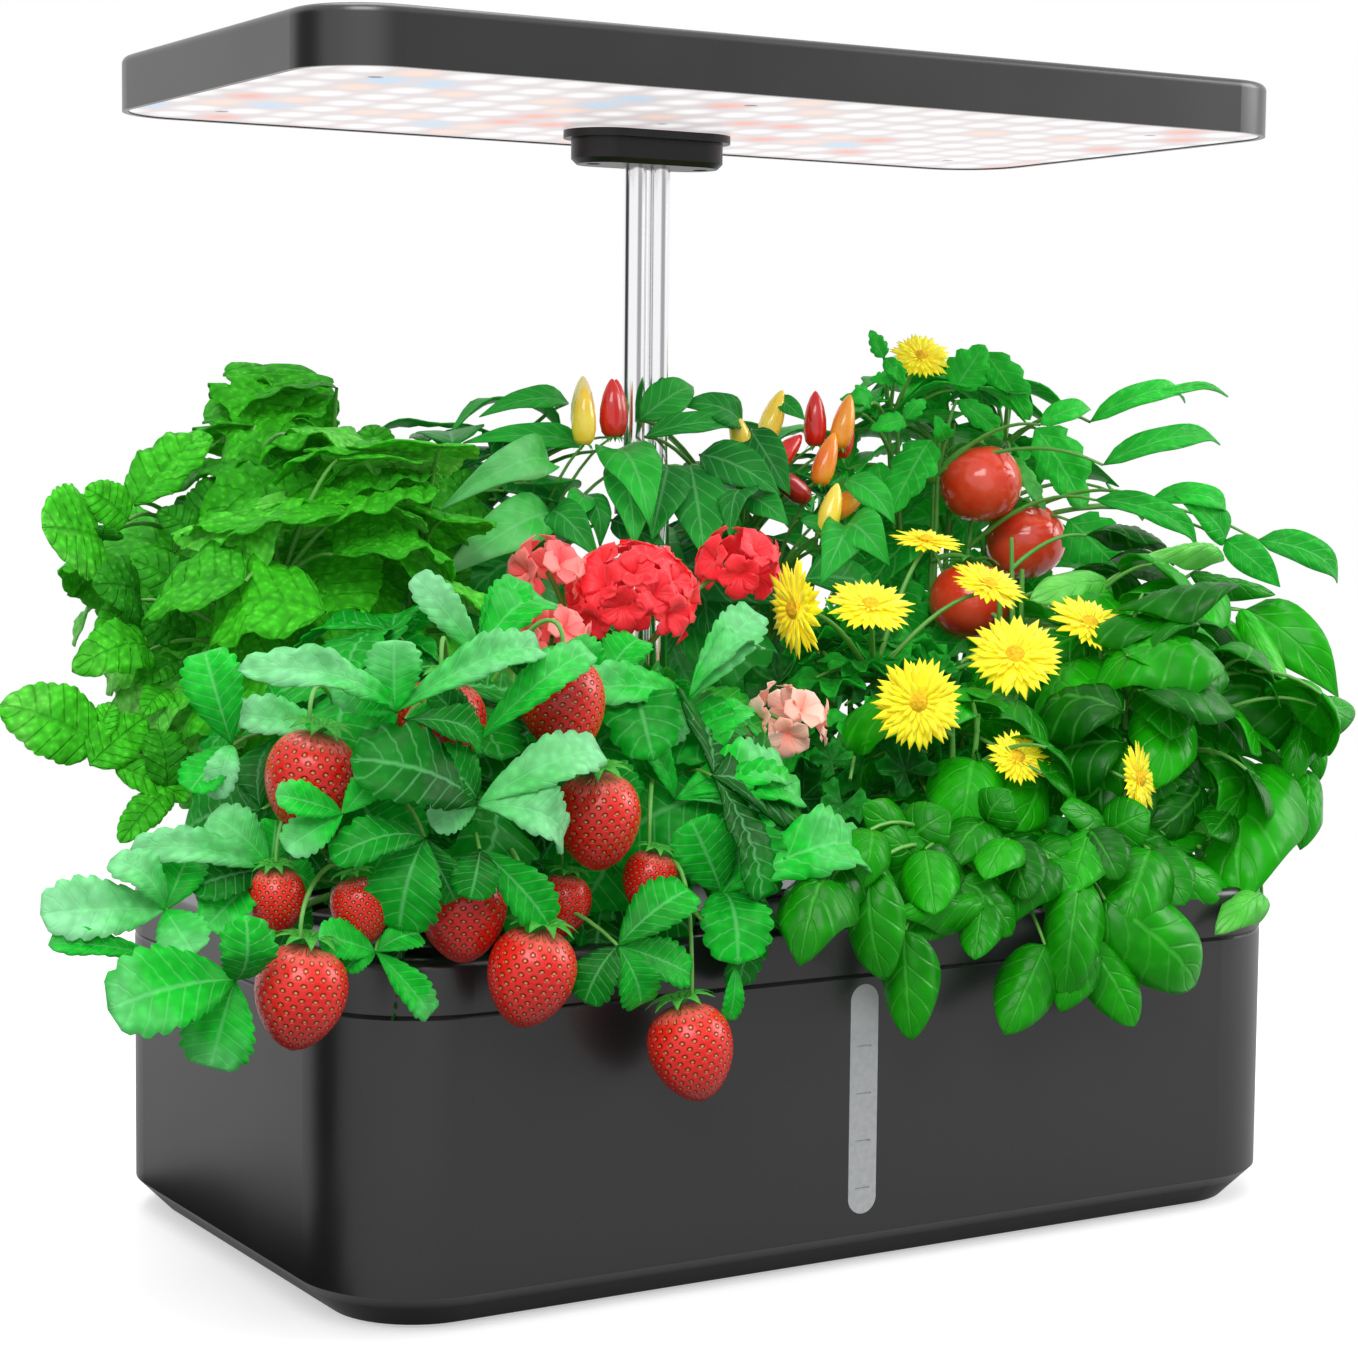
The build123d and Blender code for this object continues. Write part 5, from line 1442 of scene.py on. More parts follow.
tomato_side_leaves = (
    ((1040, 425), (1091, 410, 25, 1.0)),
    ((1090, 422), (1185, 403, 25, 1.0), (1228, 397, 10, 1.0)),
    ((1103, 465), (1220, 445, 28, 0.6)),
    ((1095, 500), (1197, 550, 28, 0.5)),
    ((1150, 500), (1225, 520, 26, 0.8)),
    ((1225, 540), (1173, 493, 35, 0.7), (1280, 587, 35, 0.6)),
    ((1258, 540), (1337, 583, 35, 0.5)),
)
basil_leaves = (
    ((1102, 656), (1092, 740, 75, 0.8)),
    ((1185, 590), (1115, 625, 55, 0.8)),
    ((1110, 585), (1030, 600, 50, 1.3)),
    ((1223, 560), (1125, 570, 20, 1.4)),
    ((1190, 575), (1275, 595, 25, 0.3)),
    ((1215, 590), (1195, 655, 45, 0.9)),
    ((1240, 610), (1292, 710, 30, 1.1)),
    ((1292, 725), (1175, 690, 90, 0.15)),
    ((1300, 725), (1353, 707, 45, 0.4), (1290, 790, 40, 0.5), (1320, 780, 30, 0.6)),
    ((1165, 700), (1195, 800, 80, 0.2)),
    ((1255, 765), (1240, 905, 115, 0.75)),
    ((1100, 860), (1230, 895, 65, 0.6), (1210, 830, 50, 0.5), (1130, 800, 60, 0.3)),
    ((1262, 895), (1215, 935, 40, 1.2)),
    ((1140, 650), (1180, 700, 35, 1.0)),
    ((1305, 770), (1300, 850, 45, 0.6)),
    ((1160, 790), (1210, 840, 50, 1.1)),
)
basil_arched_leaves = (((1245, 610), (1338, 697, 60, 0.8)),)
basil_cover_leaves = (
    ((905, 845), (862, 805, 55, 0.4), (950, 812, 60, 0.3)),
    ((990, 825), (945, 870, 60, 0.25), (1010, 790, 55, 0.35)),
    ((1030, 850), (1000, 905, 60, 0.45), (1075, 870, 55, 0.3)),
    ((1105, 835), (1060, 810, 55, 0.35), (1150, 812, 60, 0.45)),
    ((1120, 850), (1165, 880, 60, 0.3), (1090, 900, 50, 0.2)),
    ((890, 870), (850, 905, 55, 0.3), (935, 880, 60, 0.4)),
    ((878, 850), (928, 838, 50, 0.35)),
    ((915, 868), (882, 832, 50, 0.3)),
)
basil_rim_leaves = (
    ((960, 880), (900, 940, 62, 0.4), (1012, 935, 62, 0.4)),
    ((1050, 860), (1008, 925, 60, 0.3), (1085, 935, 56, 0.6)),
    ((850, 860), (815, 925, 62, 0.2), (890, 915, 56, 0.4)),
    ((1150, 850), (1120, 935, 72, 0.5), (1185, 905, 60, 0.3)),
    ((925, 850), (935, 915, 60, 0.7), (965, 900, 50, 0.1)),
    ((1010, 840), (1030, 900, 56, 0.1), (985, 880, 50, 0.7)),
    ((1090, 830), (1070, 895, 56, 0.7), (1120, 880, 56, 0.1)),
    ((870, 830), (860, 890, 50, 0.6)),
)
basil_hanging_leaves = (
    ((1105, 900), (1195, 985, 85, 0.65)),
    ((1080, 880), (1065, 1000, 60, 0.55)),
    ((1045, 945), (1005, 1035, 62, 0.5)),
    ((1090, 945), (1060, 1012, 45, 0.5), (1135, 1026, 55, 0.7)),
    ((870, 870), (885, 980, 62, 0.55)),
    ((905, 930), (912, 1040, 60, 0.5)),
    ((983, 902), (897, 915, 40, 0.6), (975, 960, 45, 0.5)),
    ((830, 885), (800, 966, 80, 0.3)),
)
daisy_bush_leaves = (
    ((1010, 870), (985, 800, 70, 1.1), (1075, 840, 70, 1.0), (1060, 945, 60, 1.3)),
    ((930, 800), (880, 740, 60, 0.1), (980, 790, 60, 0.2), (900, 850, 60, 0.2)),
    ((892, 912), (870, 850, 50, 0.7), (861, 890, 40, 0.6)),
    ((935, 905), (935, 855, 40, 0.8), (975, 880, 50, 0.9)),
    ((1060, 745), (1050, 712, 45, 1.2), (1095, 735, 40, 1.0)),
    ((850, 780), (815, 740, 50, 0.3), (835, 830, 55, 0.4)),
    ((950, 690), (990, 720, 40, 0.3), (930, 650, 40, 0.4)),
)


flower_base = Vector((0, 0, 2 * mm))  # how far below a flower's middle its stalk ends


def grow_lemon_balm():
    """Two bushy lemon balms at the back left."""
    balm = Plant("lemon_balm", mint_leaf, green_stalk, 11)
    habit = {"leaf_length": 50, "breadth": 1.05, "droop": 0.4, "stems": 7, "tints": (0.35, 1.25)}
    canopy(balm, pods[0, 2], forms["mint"], 66, (84, 56, 36, 54), (150, 215, 292), **habit)
    canopy(balm, pods[0, 1], forms["mint"], 60, (92, 60, 36, 40), (150, 205, 280), **habit)
    balm.shown(forms["mint"], balm_leaves, 60, -0.22, 410)
    balm.finish("lemon_balm_plants")


def grow_strawberries():
    """Two strawberry plants at the front left, whose leaves and fruit hang over the rim."""
    runner = Plant("strawberry_leaves", strawberry_leaf, green_stalk, 23)
    leaves = forms["strawberry"]
    upper = {"leaf_length": 46, "droop": 0.3, "stems": 4, "tints": (0, 0.6)}
    lower = {"leaf_length": 32, "droop": 0.2, "stems": 2, "tints": (0, 0.4)}
    canopy(runner, pods[0, 0], leaves, 26, (104, 60, 44, 40), (132, 176, 226), **upper)
    canopy(runner, pods[1, 0], leaves, 24, (60, 60, 44, 40), (132, 176, 226), **upper)
    canopy(runner, pods[0, 0], leaves, 12, (70, 52, 50, 20), (122, 134, 156), **lower)
    canopy(runner, pods[1, 0], leaves, 12, (52, 52, 50, 20), (122, 134, 156), **lower)
    runner.shown(forms["berry_leaflet"], strawberry_leaves, -97, -0.13)
    runner.shown(forms["berry_leaflet"], strawberry_front_leaves, -139, -0.01)
    for low, high in solids_of("strawberries"):
        neck = Vector(((low.x + high.x) / 2, (low.y + high.y) / 2, high.z + 1 * mm))
        root = min(runner.roots, key=lambda spot: (spot - neck).length)
        # the stalk rises, bends over above the rim and hangs down to the berry
        bend = Vector((neck.x, neck.y, max(neck.z + 12 * mm, deck_height + 24 * mm)))
        rise = root.lerp(bend, 0.6) + Vector((0, 0, 12 * mm))
        runner.stalk((root, rise, bend, neck), (1.0, 0.9, 0.8, 0.7))
    runner.finish("strawberry_plants")


def grow_geranium():
    """A geranium in the middle, with a stalk to each flower head."""
    bush = Plant("geranium_leaves", geranium_leaf, green_stalk, 31)
    canopy(bush, pods[1, 1], forms["geranium"], 44, (50, 62, 40, 34), (140, 180, 216), 40)
    for head in solids_of("geranium_flowers"):
        bush.rooted(middle_of(head), 1.2)
    bush.finish("geranium_plant")


def grow_peppers():
    """Two ornamental peppers behind the middle, with a stalk to each fruit."""
    bush = Plant("pepper_leaves", pepper_leaf, green_stalk, 41)
    habit = {"leaf_length": 56, "droop": 0.3, "stems": 6}
    canopy(bush, pods[1, 2], forms["pepper"], 56, (56, 58, 44, 52), (150, 225, 292), **habit)
    canopy(bush, pods[2, 2], forms["pepper"], 56, (56, 56, 44, 52), (150, 225, 288), **habit)
    bush.shown(forms["pepper"], pepper_leaves, 46, -0.22, 390)
    for points in islands_of("peppers"):
        middle, axis = long_axis(points)
        bush.rooted(middle - axis * 11 * mm, 0.7)
    bush.finish("pepper_plants")


def grow_daisy_bush():
    """A daisy bush right of the middle, with a stalk to each of its flowers."""
    bush = Plant("daisy_leaves", daisy_leaf, green_stalk, 53)
    canopy(bush, pods[2, 1], forms["daisy"], 80, (62, 56, 74, 38), (136, 176, 222), 34, stems=6)
    bush.shown(forms["daisy"], daisy_bush_leaves, -60, -0.22)
    for low, high in solids_of("daisy_flowers"):
        if high.z < vine_height:
            bush.rooted(middle_of((low, high)) - flower_base, 1.0)
    bush.finish("daisy_plant")


def grow_tomato():
    """A tall tomato plant at the back right, with toothed leaves and long plain ones."""
    vine = Plant("tomato_leaves", tomato_leaf, green_stalk, 61)
    pod = pods[3, 2]
    tints = (0.2, 1.0)
    canopy(vine, pod, forms["tomato"], 40, (50, 110, 34, 49), (160, 250, 326), 74, stems=6, tints=tints)
    canopy(vine, pod, forms["pepper"], 40, (50, 120, 34, 49), (160, 255, 320), 54, stems=4, tints=tints)
    vine.shown(forms["tomato_leaflet"], tomato_top_leaflets, 46, -0.1, 420)
    vine.shown(forms["arched"], tomato_side_leaves, 12, -0.16, 400)
    for low, high in solids_of("tomatoes"):
        vine.rooted(Vector(((low.x + high.x) / 2, (low.y + high.y) / 2, high.z)), 1.2)
    for low, high in solids_of("daisy_flowers"):
        if high.z > vine_height:
            vine.rooted(middle_of((low, high)) - flower_base, 1.0)
    vine.finish("tomato_plant")


def grow_basil():
    """Three basil plants at the right, whose lowest leaves hang over the rim."""
    bush = Plant("basil_leaves", basil_leaf, green_stalk, 71)
    leaves = forms["basil"]
    lower = {"leaf_length": 34, "droop": 0.3, "stems": 3, "tints": (0, 0.6)}
    canopy(bush, pods[3, 1], leaves, 56, (44, 112, 38, 40), (140, 205, 256), 46, droop=0.35, stems=6)
    canopy(bush, pods[3, 0], leaves, 52, (44, 106, 44, 40), (132, 174, 226), 46, droop=0.35, stems=6)
    canopy(bush, pods[2, 0], leaves, 40, (60, 50, 46, 40), (132, 165, 200), 42, droop=0.35, stems=5)
    canopy(bush, pods[3, 0], leaves, 26, (56, 70, 52, 24), (122, 136, 160), **lower)
    canopy(bush, pods[2, 0], leaves, 26, (54, 56, 52, 24), (122, 136, 160), **lower)
    # low runners behind the rim, in millimetres from the middle, carry the leaves that hang over it
    between_pods = 107
    for across in range(48, 200, 14):
        bud = Vector((across * mm, -100 * mm, deck_height + 14 * mm))
        pod = pods[2, 0] if across < between_pods else pods[3, 0]
        rise = pod.lerp(bud, 0.6) + Vector((0, 0, 10 * mm))
        bush.stalk((pod, rise, bud), (1.6, 1.3, 1.0))
        bush.roots.append(bud)
    bush.shown(forms["basil"], basil_leaves, -58, -0.27)
    bush.shown(forms["arched"], basil_arched_leaves, -34, -0.2)
    bush.shown(forms["basil"], basil_cover_leaves, -112, -0.1, 900)
    bush.shown(forms["basil"], basil_rim_leaves, -124, -0.05, 900)
    bush.shown(forms["basil"], basil_hanging_leaves, -132, -0.04, 950)
    bush.finish("basil_plants")


# ---------------------------------------------------------------- fruit and flowers
def turned_form(name, profile, sides, skin):
    """A round form drawn up ring by ring from a disc, through its profile of (height, radius) pairs from
    the foot to the top, in millimetres. Its map runs once round in X and from foot to top in Y."""
    foot, foot_radius = profile[0]
    bpy.ops.mesh.primitive_circle_add(
        vertices=sides,
        radius=foot_radius * mm,
        fill_type="NGON",
        location=(0, 0, foot * mm),
        rotation=(0, 0, -pi / 2),
    )
    bpy.ops.object.transform_apply()
    fruit = bpy.context.object
    fruit.name = name
    bpy.ops.object.mode_set(mode="EDIT")
    bpy.ops.mesh.select_all(action="SELECT")
    for (height, radius), (next_height, next_radius) in zip(profile, profile[1:]):
        rise = (next_height - height) * mm
        growth = next_radius / radius
        bpy.ops.mesh.extrude_region_move(TRANSFORM_OT_translate={"value": (0, 0, rise)})
        bpy.ops.transform.resize(value=(growth, growth, 1), center_override=(0, 0, next_height * mm))
    bpy.ops.object.mode_set(mode="OBJECT")
    bpy.ops.object.shade_smooth()
    mesh = fruit.data
    mesh.uv_layers[0].name = "leaf"
    last_ring = len(profile) - 1
    for face in mesh.polygons:
        is_end_disc = len(face.vertices) == sides
        corners = [mesh.vertices[number].co for number in face.vertices]
        steps = [round(atan2(corner.y, corner.x) / (2 * pi) * sides) % sides for corner in corners]
        for loop, number, step in zip(face.loop_indices, face.vertices, steps):
            # the last strip ends at 1, where the map closes
            across = step + sides if max(steps) - step > 1 else step
            spot = (0, 0) if is_end_disc else (across / sides, number // sides / last_ring)
            mesh.uv_layers[0].data[loop].uv = spot
    tint = mesh.attributes.new("tint", "FLOAT", "POINT")
    tint.data.foreach_set("value", [0.5] * len(mesh.vertices))
    mesh.materials.append(skin)
    bpy.data.objects.remove(fruit)
    return mesh


def turned_to(axis, spin=0.0):
    """Turn that stands Z along the axis."""
    return axis.to_track_quat("Z", "Y").to_matrix().to_4x4() @ Matrix.Rotation(spin, 4, "Z")


def put(form, name, place, turn, skin=None, size=1.0, tint=None):
    """A copy of a form with its place in its mesh."""
    piece = bpy.data.objects.new(name, form.copy())
    piece.data.transform(Matrix.Translation(place) @ turn @ Matrix.Diagonal((size, size, size, 1)))
    if skin:
        piece.data.materials.clear()
        piece.data.materials.append(skin)
    if tint is not None:
        piece.data.attributes["tint"].data.foreach_set("value", [tint] * len(piece.data.vertices))
    bpy.context.collection.objects.link(piece)
    return piece


def calyx(name, place, axis, count, length, lift, skin, spin):
    """A star of sepals round the axis, of this length in millimetres. lift is the angle in radians by
    which they rise from the flat, and spin turns the star."""
    star = []
    for number in range(count):
        turn = turned_to(axis, 2 * pi * number / count + spin) @ Matrix.Rotation(-lift, 4, "Y")
        star.append(put(forms["sepal"], name, place, turn, skin, length * mm, 0.4))
    return star


def grow_berries():
    """Strawberries that hang from their stalks, each with its collar of sepals."""
    skin = berry_finish()
    rings = 22
    full_length = 34
    foot = -17
    length = 33
    radius = 14.2
    profile = []
    for number in range(rings + 1):
        share = number / rings
        swell = outline_width(1 - share, 0.42, 0.62)
        profile.append((foot + length * share, max(radius * swell, 0.6)))
    berry = turned_form("berry", profile, 40, skin)
    leans = [
        Vector((0.12, -0.1, 1)),
        Vector((-0.1, -0.15, 1)),
        Vector((0.15, -0.2, 1)),
        Vector((-0.2, 0.1, 1)),
    ]
    pieces = []
    for number, (low, high) in enumerate(solids_of("strawberries")):
        place = (low + high) / 2
        size = (high.z - low.z) / mm / full_length
        axis = leans[number % len(leans)].normalized()
        pieces.append(put(berry, "berry", place, turned_to(axis, number * 1.3), None, size))
        neck = place + axis * 15.6 * size * mm
        pieces += calyx("berry", neck, axis, 9, 12 * size, 0.1, calyx_skin, number)
    whole = join(pieces, "strawberry_fruit")
    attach(whole, "deck")
    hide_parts("strawberries")


def grow_tomatoes():
    """Round tomatoes, a little flattened and dimpled at the top, each with five sepals."""
    skin = fruit_skin("ripe tomato skin", "EE3418", "FF5C42", 0.16)
    radius = 17.5
    rings = 18
    profile = []
    for number in range(rings + 1):
        angle = -pi / 2 + pi * number / rings
        dimple = 2.2 * max(0.0, sin(angle)) ** 12
        girth = max(cos(angle), 0) ** 0.92
        profile.append((radius * 0.93 * sin(angle) - dimple, max(radius * girth, 0.4)))
    tomato = turned_form("tomato", profile, 36, skin)
    pieces = []
    for number, pair in enumerate(solids_of("tomatoes")):
        axis = Vector((0.15 - 0.2 * number, 0.25, 1)).normalized()
        place = middle_of(pair)
        pieces.append(put(tomato, "tomato", place, turned_to(axis, number)))
        pieces += calyx("tomato", place + axis * 14.5 * mm, axis, 5, 14, -0.05, calyx_skin, number)
    whole = join(pieces, "tomato_fruit")
    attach(whole, "deck")
    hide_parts("tomatoes")


# where each pepper shows in the picture frame, and its colour
pepper_looks = (
    (582, 420, "yellow"),
    (588, 400, "cream"),
    (608, 412, "red"),
    (620, 408, "red"),
    (741, 440, "yellow"),
    (773, 417, "yellow"),
    (783, 455, "red"),
    (815, 420, "red"),
    (838, 418, "orange"),
    (846, 436, "red"),
    (826, 461, "orange"),
    (788, 486, "dark red"),
    (828, 514, "yellow"),
    (850, 500, "orange"),
)


def grow_pepper_fruit():
    """Small upright peppers in five colours, thickest below the middle, with a cap of sepals."""
    skins = {
        "red": fruit_skin("red pepper skin", "C41014", "F02A20"),
        "dark red": fruit_skin("dark red pepper skin", "7A0D0F", "B5161A"),
        "orange": fruit_skin("orange pepper skin", "F87420", "FFB030"),
        "yellow": fruit_skin("yellow pepper skin", "FFCC20", "FFF060"),
        "cream": fruit_skin("cream pepper skin", "E9DC7E", "F6F0B8"),
    }
    profile = [
        (-11, 0.8),
        (-10.6, 2.6),
        (-9, 3.9),
        (-5, 4.7),
        (0, 4.5),
        (5, 3.5),
        (8.5, 2.2),
        (10.6, 0.9),
        (11.2, 0.2),
    ]
    pepper = turned_form("pepper", profile, 16, skins["red"])
    pieces = []
    for number, points in enumerate(islands_of("peppers")):
        place, axis = long_axis(points)
        colour = nearest_look(place, pepper_looks)[2]
        pieces.append(put(pepper, "pepper", place, turned_to(axis, number), skins[colour]))
        pieces += calyx("pepper", place - axis * 10.8 * mm, axis, 5, 4.5, -0.5, calyx_skin, number)
    whole = join(pieces, "pepper_fruit")
    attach(whole, "deck")
    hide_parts("peppers")


# where each daisy shows in the picture frame, how far it faces right, up and out of the frame,
# and its size as a share of a full one
daisy_looks = (
    (798, 610, -0.9, -0.1, 0.45, 1.15),
    (869, 609, 0.1, 0.75, 0.6, 1.0),
    (925, 545, 0.1, 0.95, 0.3, 0.9),
    (988, 588, 0.3, 0.8, 0.5, 0.95),
    (1014, 655, 0.0, 0.55, 0.8, 1.15),
    (1088, 627, 0.3, 0.75, 0.6, 1.0),
    (917, 704, 0.0, 0.1, 1.0, 1.05),
    (1016, 761, 0.2, 0.6, 0.7, 0.75),
    (1142, 775, 0.8, 0.1, 0.55, 0.85),
    (920, 360, 0.1, 0.6, 0.75, 0.8),
)


def grow_daisies():
    """Yellow daisies: three rings of narrow rays round a domed, seeded heart."""
    rays = petal_finish("daisy ray", "FFE000", "FFF810")
    heart_skin = open_cell_foam("daisy heart", "FFD820", "E0A60C", 1.4)
    dome = [(-1.5, 2.4), (0, 3.8), (1.2, 3.4), (2.2, 2.2), (2.7, 0.6)]
    heart = turned_form("daisy_heart", dome, 18, heart_skin)
    # rays in each ring from the outermost in, their length in millimetres and how far they rise
    ray_rings = ((36, 16.5, 0.06), (28, 13.5, 0.22), (16, 9.0, 0.5))
    chance = random.Random(5)
    pieces = []
    for pair in solids_of("daisy_flowers"):
        place = middle_of(pair)
        _, _, right, up, out, full = nearest_look(place, daisy_looks)
        axis = (view_right * right + view_up * up - view_ahead * out).normalized()
        for ring, (count, length, lift) in enumerate(ray_rings):
            for k in range(count):
                spin = 2 * pi * (k + 0.5 * ring) / count + chance.uniform(-0.05, 0.05)
                turn = turned_to(axis, spin) @ Matrix.Rotation(-lift + chance.uniform(-0.1, 0.1), 4, "Y")
                size = length * full * chance.uniform(0.88, 1.05) * mm
                tint = chance.uniform(0.1, 0.9)
                pieces.append(put(forms["ray"], "daisy", place, turn, rays, size, tint))
        pieces.append(put(heart, "daisy", place + axis * 1.2 * mm, turned_to(axis), heart_skin, full))
    whole = join(pieces, "daisies")
    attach(whole, "deck")
    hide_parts("daisy_flowers")


# where each flower head shows in the picture frame, its colour, and its size as a share of the solid
head_looks = (
    (632, 602, "red", 1.35),
    (738, 569, "red", 1.35),
    (547, 575, "salmon", 1.3),
    (565, 640, "salmon", 1.3),
    (790, 725, "peach", 1.3),
)


def grow_geranium_heads():
    """Round heads of five-petalled florets."""
    skins = {
        "red": petal_finish("red geranium petal", "DC1020", "FF2C3A"),
        "salmon": petal_finish("salmon geranium petal", "F04A50", "FF8C84"),
        "peach": petal_finish("peach geranium petal", "FF9680", "FFD2C0"),
    }
    chance = random.Random(9)
    pieces = []
    for low, high in solids_of("geranium_flowers"):
        middle = middle_of((low, high))
        _, _, colour, full = nearest_look(middle, head_looks)
        spread = (high.x - low.x) / 2
        depth = (high.z - low.z) / 2
        florets = max(7, round((spread / mm / 6.0) ** 2 * 1.7))
        for k in range(florets):
            climb = 1 - 1.5 * (k + 0.5) / florets
            ring = sqrt(max(0, 1 - climb**2))
            turn = k * golden_angle
            axis = Vector((ring * cos(turn), ring * sin(turn), climb)).normalized()
            rise = axis.z * depth * 0.85 * full
            place = middle + Vector((axis.x * spread * 0.8, axis.y * spread * 0.8, rise))
            for petal in range(5):
                spin = 2 * pi * petal / 5 + k
                lean = turned_to(axis, spin) @ Matrix.Rotation(-0.35 + chance.uniform(-0.15, 0.15), 4, "Y")
                form = forms["floret"][petal % 2]
                size = chance.uniform(8.5, 10.5) * mm
                tint = chance.uniform(0.0, 1.0)
                pieces.append(put(form, "floret", place, lean, skins[colour], size, tint))
    whole = join(pieces, "geranium_heads")
    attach(whole, "deck")
    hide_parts("geranium_flowers")


grow_lemon_balm()
grow_strawberries()
grow_geranium()
grow_peppers()
grow_daisy_bush()
grow_tomato()
grow_basil()
grow_berries()
grow_tomatoes()
grow_pepper_fruit()
grow_daisies()
grow_geranium_heads()

# ---------------------------------------------------------------- finishes of the moulded and metal parts
finishes = {
    # the charcoal's foot colour is a painted shade on the chamfer at the foot
    "charcoal_abs": moulded_abs("charcoal ABS", "1D1D1E", 0.9, 0.3, 0.03, 0.75, foot="070707"),
    "black_abs": moulded_abs("black ABS", "161617", 0.8, 0.38),
    "level_window_acrylic": frosted_acrylic(),
    "rubber": moulded_rubber(),
    "basket_plastic": moulded_abs("polypropylene", "242426", 1.2, 0.5),
    "sponge": open_cell_foam("grow sponge", "6B4B33", "2E1F14", 1.6),
    "stainless": polished_steel(),
    "zinc_steel": zinc_plate(),
    "circuit_board": printed_board("green circuit board", "0F5A32", "1C7A48"),
    "led_board_white": printed_board("white circuit board", "E8EAEA", "D2D4D4"),
    "led_lens": fruit_skin("light's silicone dome", "F3E3A6", "FBF3CF", 0.3),
    "diffuser_white": lit_diffuser(),
    "silicone": soft_silicone(),
    "foam": open_cell_foam("filter foam", "2B2B2E", "101012", 1.2),
    "pump_magnet": moulded_abs("ferrite rotor", "2B2B2D", 1.0, 0.55),
    "lens_green": fruit_skin("green light pipe", "2FA34A", "6FD888", 0.15),
}
slots = {entry["node"]: entry["material_slot"] for entry in frame["record"]["subparts"]}
for name, piece in frame["nodes"].items():
    if slots[name] in finishes:
        piece.data.materials.clear()
        piece.data.materials.append(finishes[slots[name]])


# ---------------------------------------------------------------- floor, light and camera
def lay_floor():
    """White sweep round the garden that fades out at its rim. It shows white to the eye, keeps a soft
    shadow, and throws little light back on the garden or on its glossy faces."""
    bpy.ops.mesh.primitive_plane_add(size=3, location=(0, 0, 0))
    floor = bpy.context.object
    floor.name = "floor"
    material, shader = start_material("white sweep", "FFFFFF", 1.0, Specular_IOR_Level=0.0)
    shader.inputs["Emission Color"].default_value = (1, 1, 1, 1)
    rays = add_node(material, "ShaderNodeLightPath")
    mirrored = add_node(
        material, "ShaderNodeMath", {0: rays.outputs["Is Glossy Ray"], 1: 0.35}, operation="MULTIPLY"
    )
    direct = add_node(
        material,
        "ShaderNodeMath",
        {0: rays.outputs["Is Camera Ray"], 1: rays.outputs["Is Transmission Ray"]},
        operation="MAXIMUM",
    )
    seen = add_node(
        material, "ShaderNodeMath", {0: direct.outputs[0], 1: mirrored.outputs[0]}, operation="MAXIMUM"
    )
    glow = add_node(material, "ShaderNodeMapRange", {"Value": seen.outputs[0], 3: 0.06, 4: 0.5})
    chalk = add_node(
        material,
        "ShaderNodeMix",
        {"Factor": seen.outputs[0], 6: (0.1, 0.1, 0.1, 1), 7: (0.6, 0.6, 0.6, 1)},
        data_type="RGBA",
    )
    place = add_node(material, "ShaderNodeTexCoord").outputs["Object"]
    reach = add_node(material, "ShaderNodeVectorMath", {0: place}, operation="LENGTH")
    fade = add_node(
        material,
        "ShaderNodeMapRange",
        {"Value": reach.outputs["Value"], 1: 0.55, 2: 1.2, 3: 1.0, 4: 0.0},
        interpolation_type="SMOOTHSTEP",
    )
    feed(
        material,
        shader,
        Emission_Strength=glow.outputs[0],
        Base_Color=chalk.outputs[2],
        Alpha=fade.outputs[0],
    )
    floor.data.materials.append(material)


def light_world():
    """White surroundings: full white to the eye, softer as light. A dark panel far to the left draws
    the dark line on the tank's corner, and a grey one ahead of its front keeps that face dark."""
    # each panel's direction, the cosine at which it begins, and the light that is left in its middle
    panels = (((-0.89, 0.44, 0.06), 0.84, 0.05), ((0.36, -0.93, 0.0), 0.86, 0.4))
    full_dark = 0.98
    world = bpy.data.worlds.new("white room")
    bpy.context.scene.world = world
    world.use_nodes = True
    background = world.node_tree.nodes["Background"]
    background.inputs["Color"].default_value = (1, 1, 1, 1)
    rays = add_node(world, "ShaderNodeLightPath")
    direction = add_node(world, "ShaderNodeTexCoord").outputs["Generated"]
    softer = add_node(
        world, "ShaderNodeMapRange", {"Value": rays.outputs["Is Glossy Ray"], 3: 0.74, 4: 1.05}
    )
    light = softer.outputs[0]
    for aim, edge, left_over in panels:
        nearness = add_node(world, "ShaderNodeVectorMath", {0: direction, 1: aim}, operation="DOT_PRODUCT")
        panel = add_node(
            world,
            "ShaderNodeMapRange",
            {"Value": nearness.outputs["Value"], 1: edge, 2: full_dark, 3: 1.0, 4: left_over},
            interpolation_type="SMOOTHSTEP",
        )
        darker = add_node(world, "ShaderNodeMath", {0: light, 1: panel.outputs[0]}, operation="MULTIPLY")
        light = darker.outputs[0]
    seen = add_node(
        world,
        "ShaderNodeMath",
        {0: rays.outputs["Is Camera Ray"], 1: rays.outputs["Is Transmission Ray"]},
        operation="MAXIMUM",
    )
    level = add_node(world, "ShaderNodeMapRange", {"Value": seen.outputs[0], 3: light, 4: 1.0})
    world.node_tree.links.new(level.outputs[0], background.inputs["Strength"])


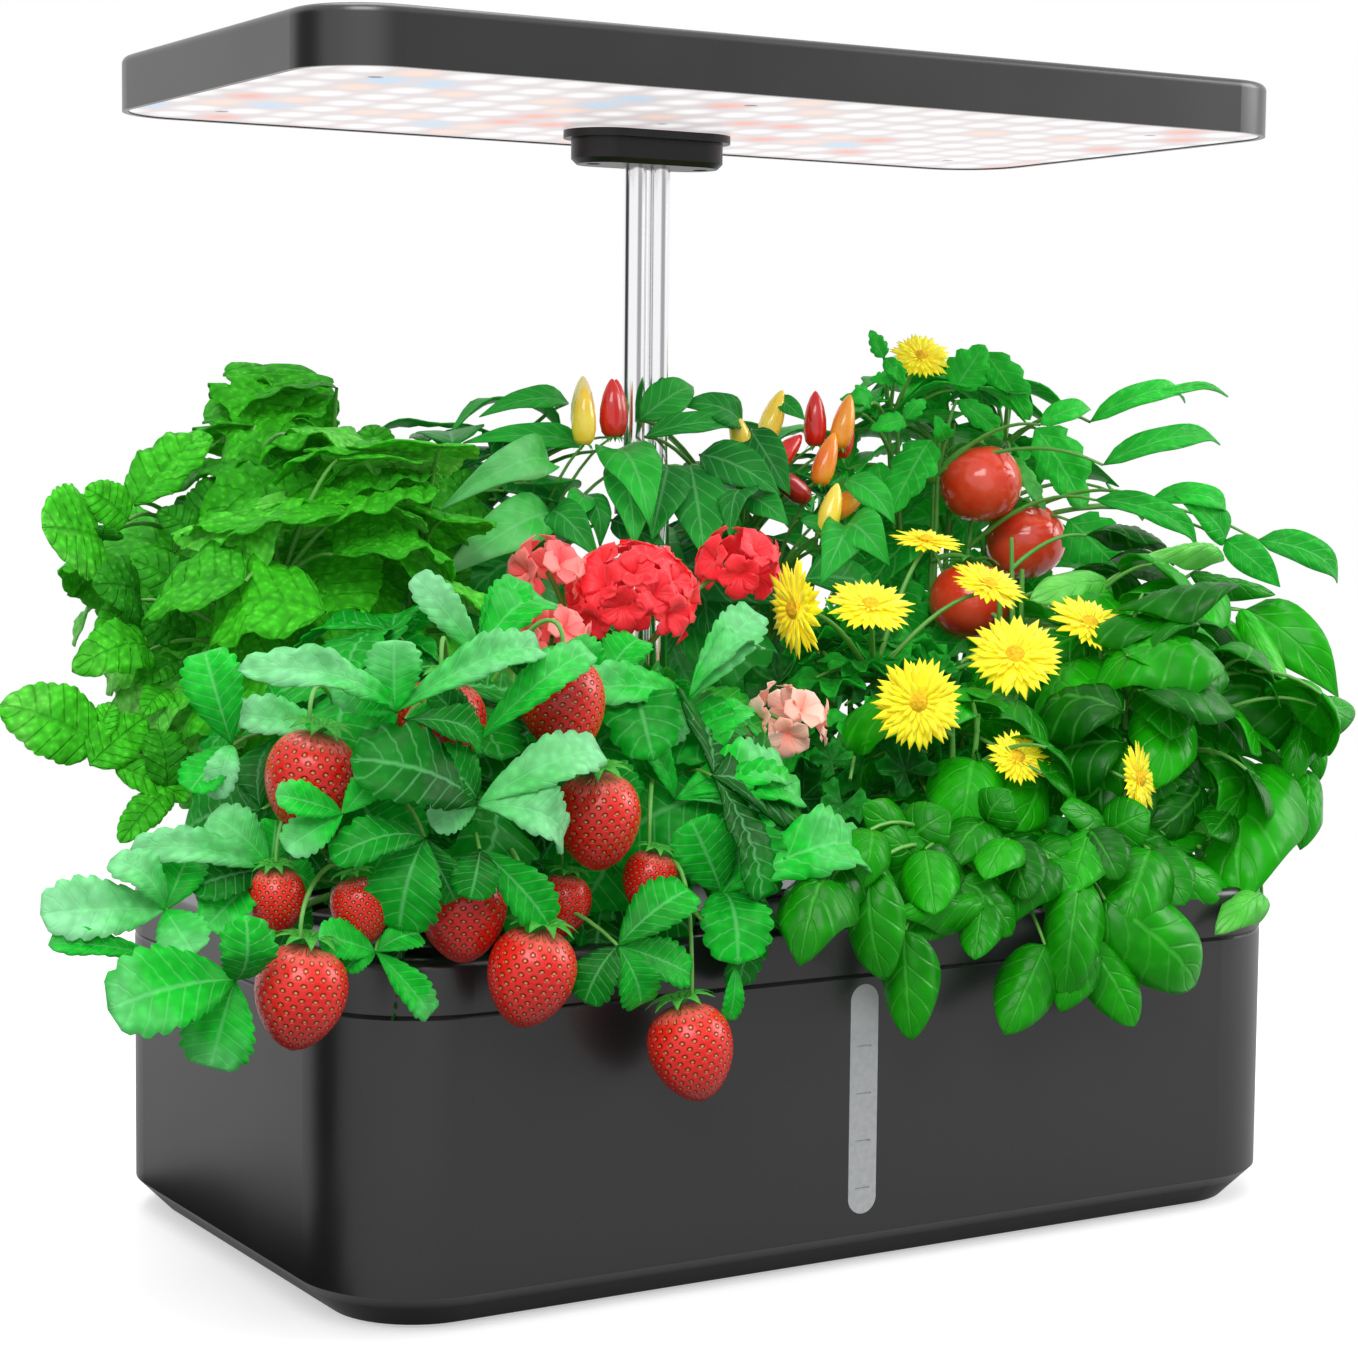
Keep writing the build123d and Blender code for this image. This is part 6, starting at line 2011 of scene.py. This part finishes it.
def stand_card(name, place, facing, wide, tall):
    """Black card beside the garden, which shows only in the garden's glossy faces and draws a soft
    dark band there. place, wide and tall are in metres."""
    bpy.ops.mesh.primitive_plane_add(size=1)
    card = bpy.context.object
    card.name = name
    turn = Vector(facing).to_track_quat("Z", "Y").to_matrix().to_4x4()
    card.data.transform(Matrix.Translation(place) @ turn @ Matrix.Diagonal((wide, tall, 1, 1)))
    material, _ = start_material("black card", "020202", 1.0, Specular_IOR_Level=0.0)
    card.data.materials.append(material)
    card.visible_camera = False
    card.visible_diffuse = False
    card.visible_transmission = False
    card.visible_shadow = False


def hang_light(name, place, aim, size, power):
    """A square soft box at this place, turned to the aim point; metres and watts."""
    bpy.ops.object.light_add(type="AREA", location=place)
    box = bpy.context.object
    box.name = name
    box.data.size = size
    box.data.energy = power
    box.rotation_mode = "QUATERNION"
    box.rotation_quaternion = (Vector(aim) - Vector(place)).to_track_quat("-Z", "Y")


def set_camera():
    """The camera that gives the picture frame its view."""
    bpy.ops.object.camera_add(location=view_place)
    camera = bpy.context.object
    camera.rotation_mode = "QUATERNION"
    camera.rotation_quaternion = Matrix((view_right, view_up, -view_ahead)).transposed().to_quaternion()
    camera.data.sensor_fit = "HORIZONTAL"
    camera.data.sensor_width = sensor_width
    camera.data.lens = focal_pixels / frame_width * sensor_width
    camera.data.clip_start = 0.05
    camera.data.clip_end = 50
    bpy.context.scene.camera = camera


lay_floor()
stand_card("upright card", (-0.366, 0.004, 0.061), (0.88, -0.47, 0), 0.11, 0.12)
stand_card("lying card", (-0.226, 0.015, 0.0004), (0, 0, 1), 0.05, 0.23)
stand_card("corner card", (-0.28, -0.035, 0.0008), (0, 0, 1), 0.16, 0.1)
light_world()
hang_light("key soft box", (-1.2, -1.6, 1.9), (0, 0, 0.2), 1.4, 40)
hang_light("right soft box", (1.9, -0.9, 1.2), (0, 0, 0.2), 1.2, 24)
hang_light("top soft box", (0.1, 0.4, 2.4), (0, 0, 0.2), 1.6, 30)
set_camera()
bpy.context.scene.view_settings.view_transform = "Standard"
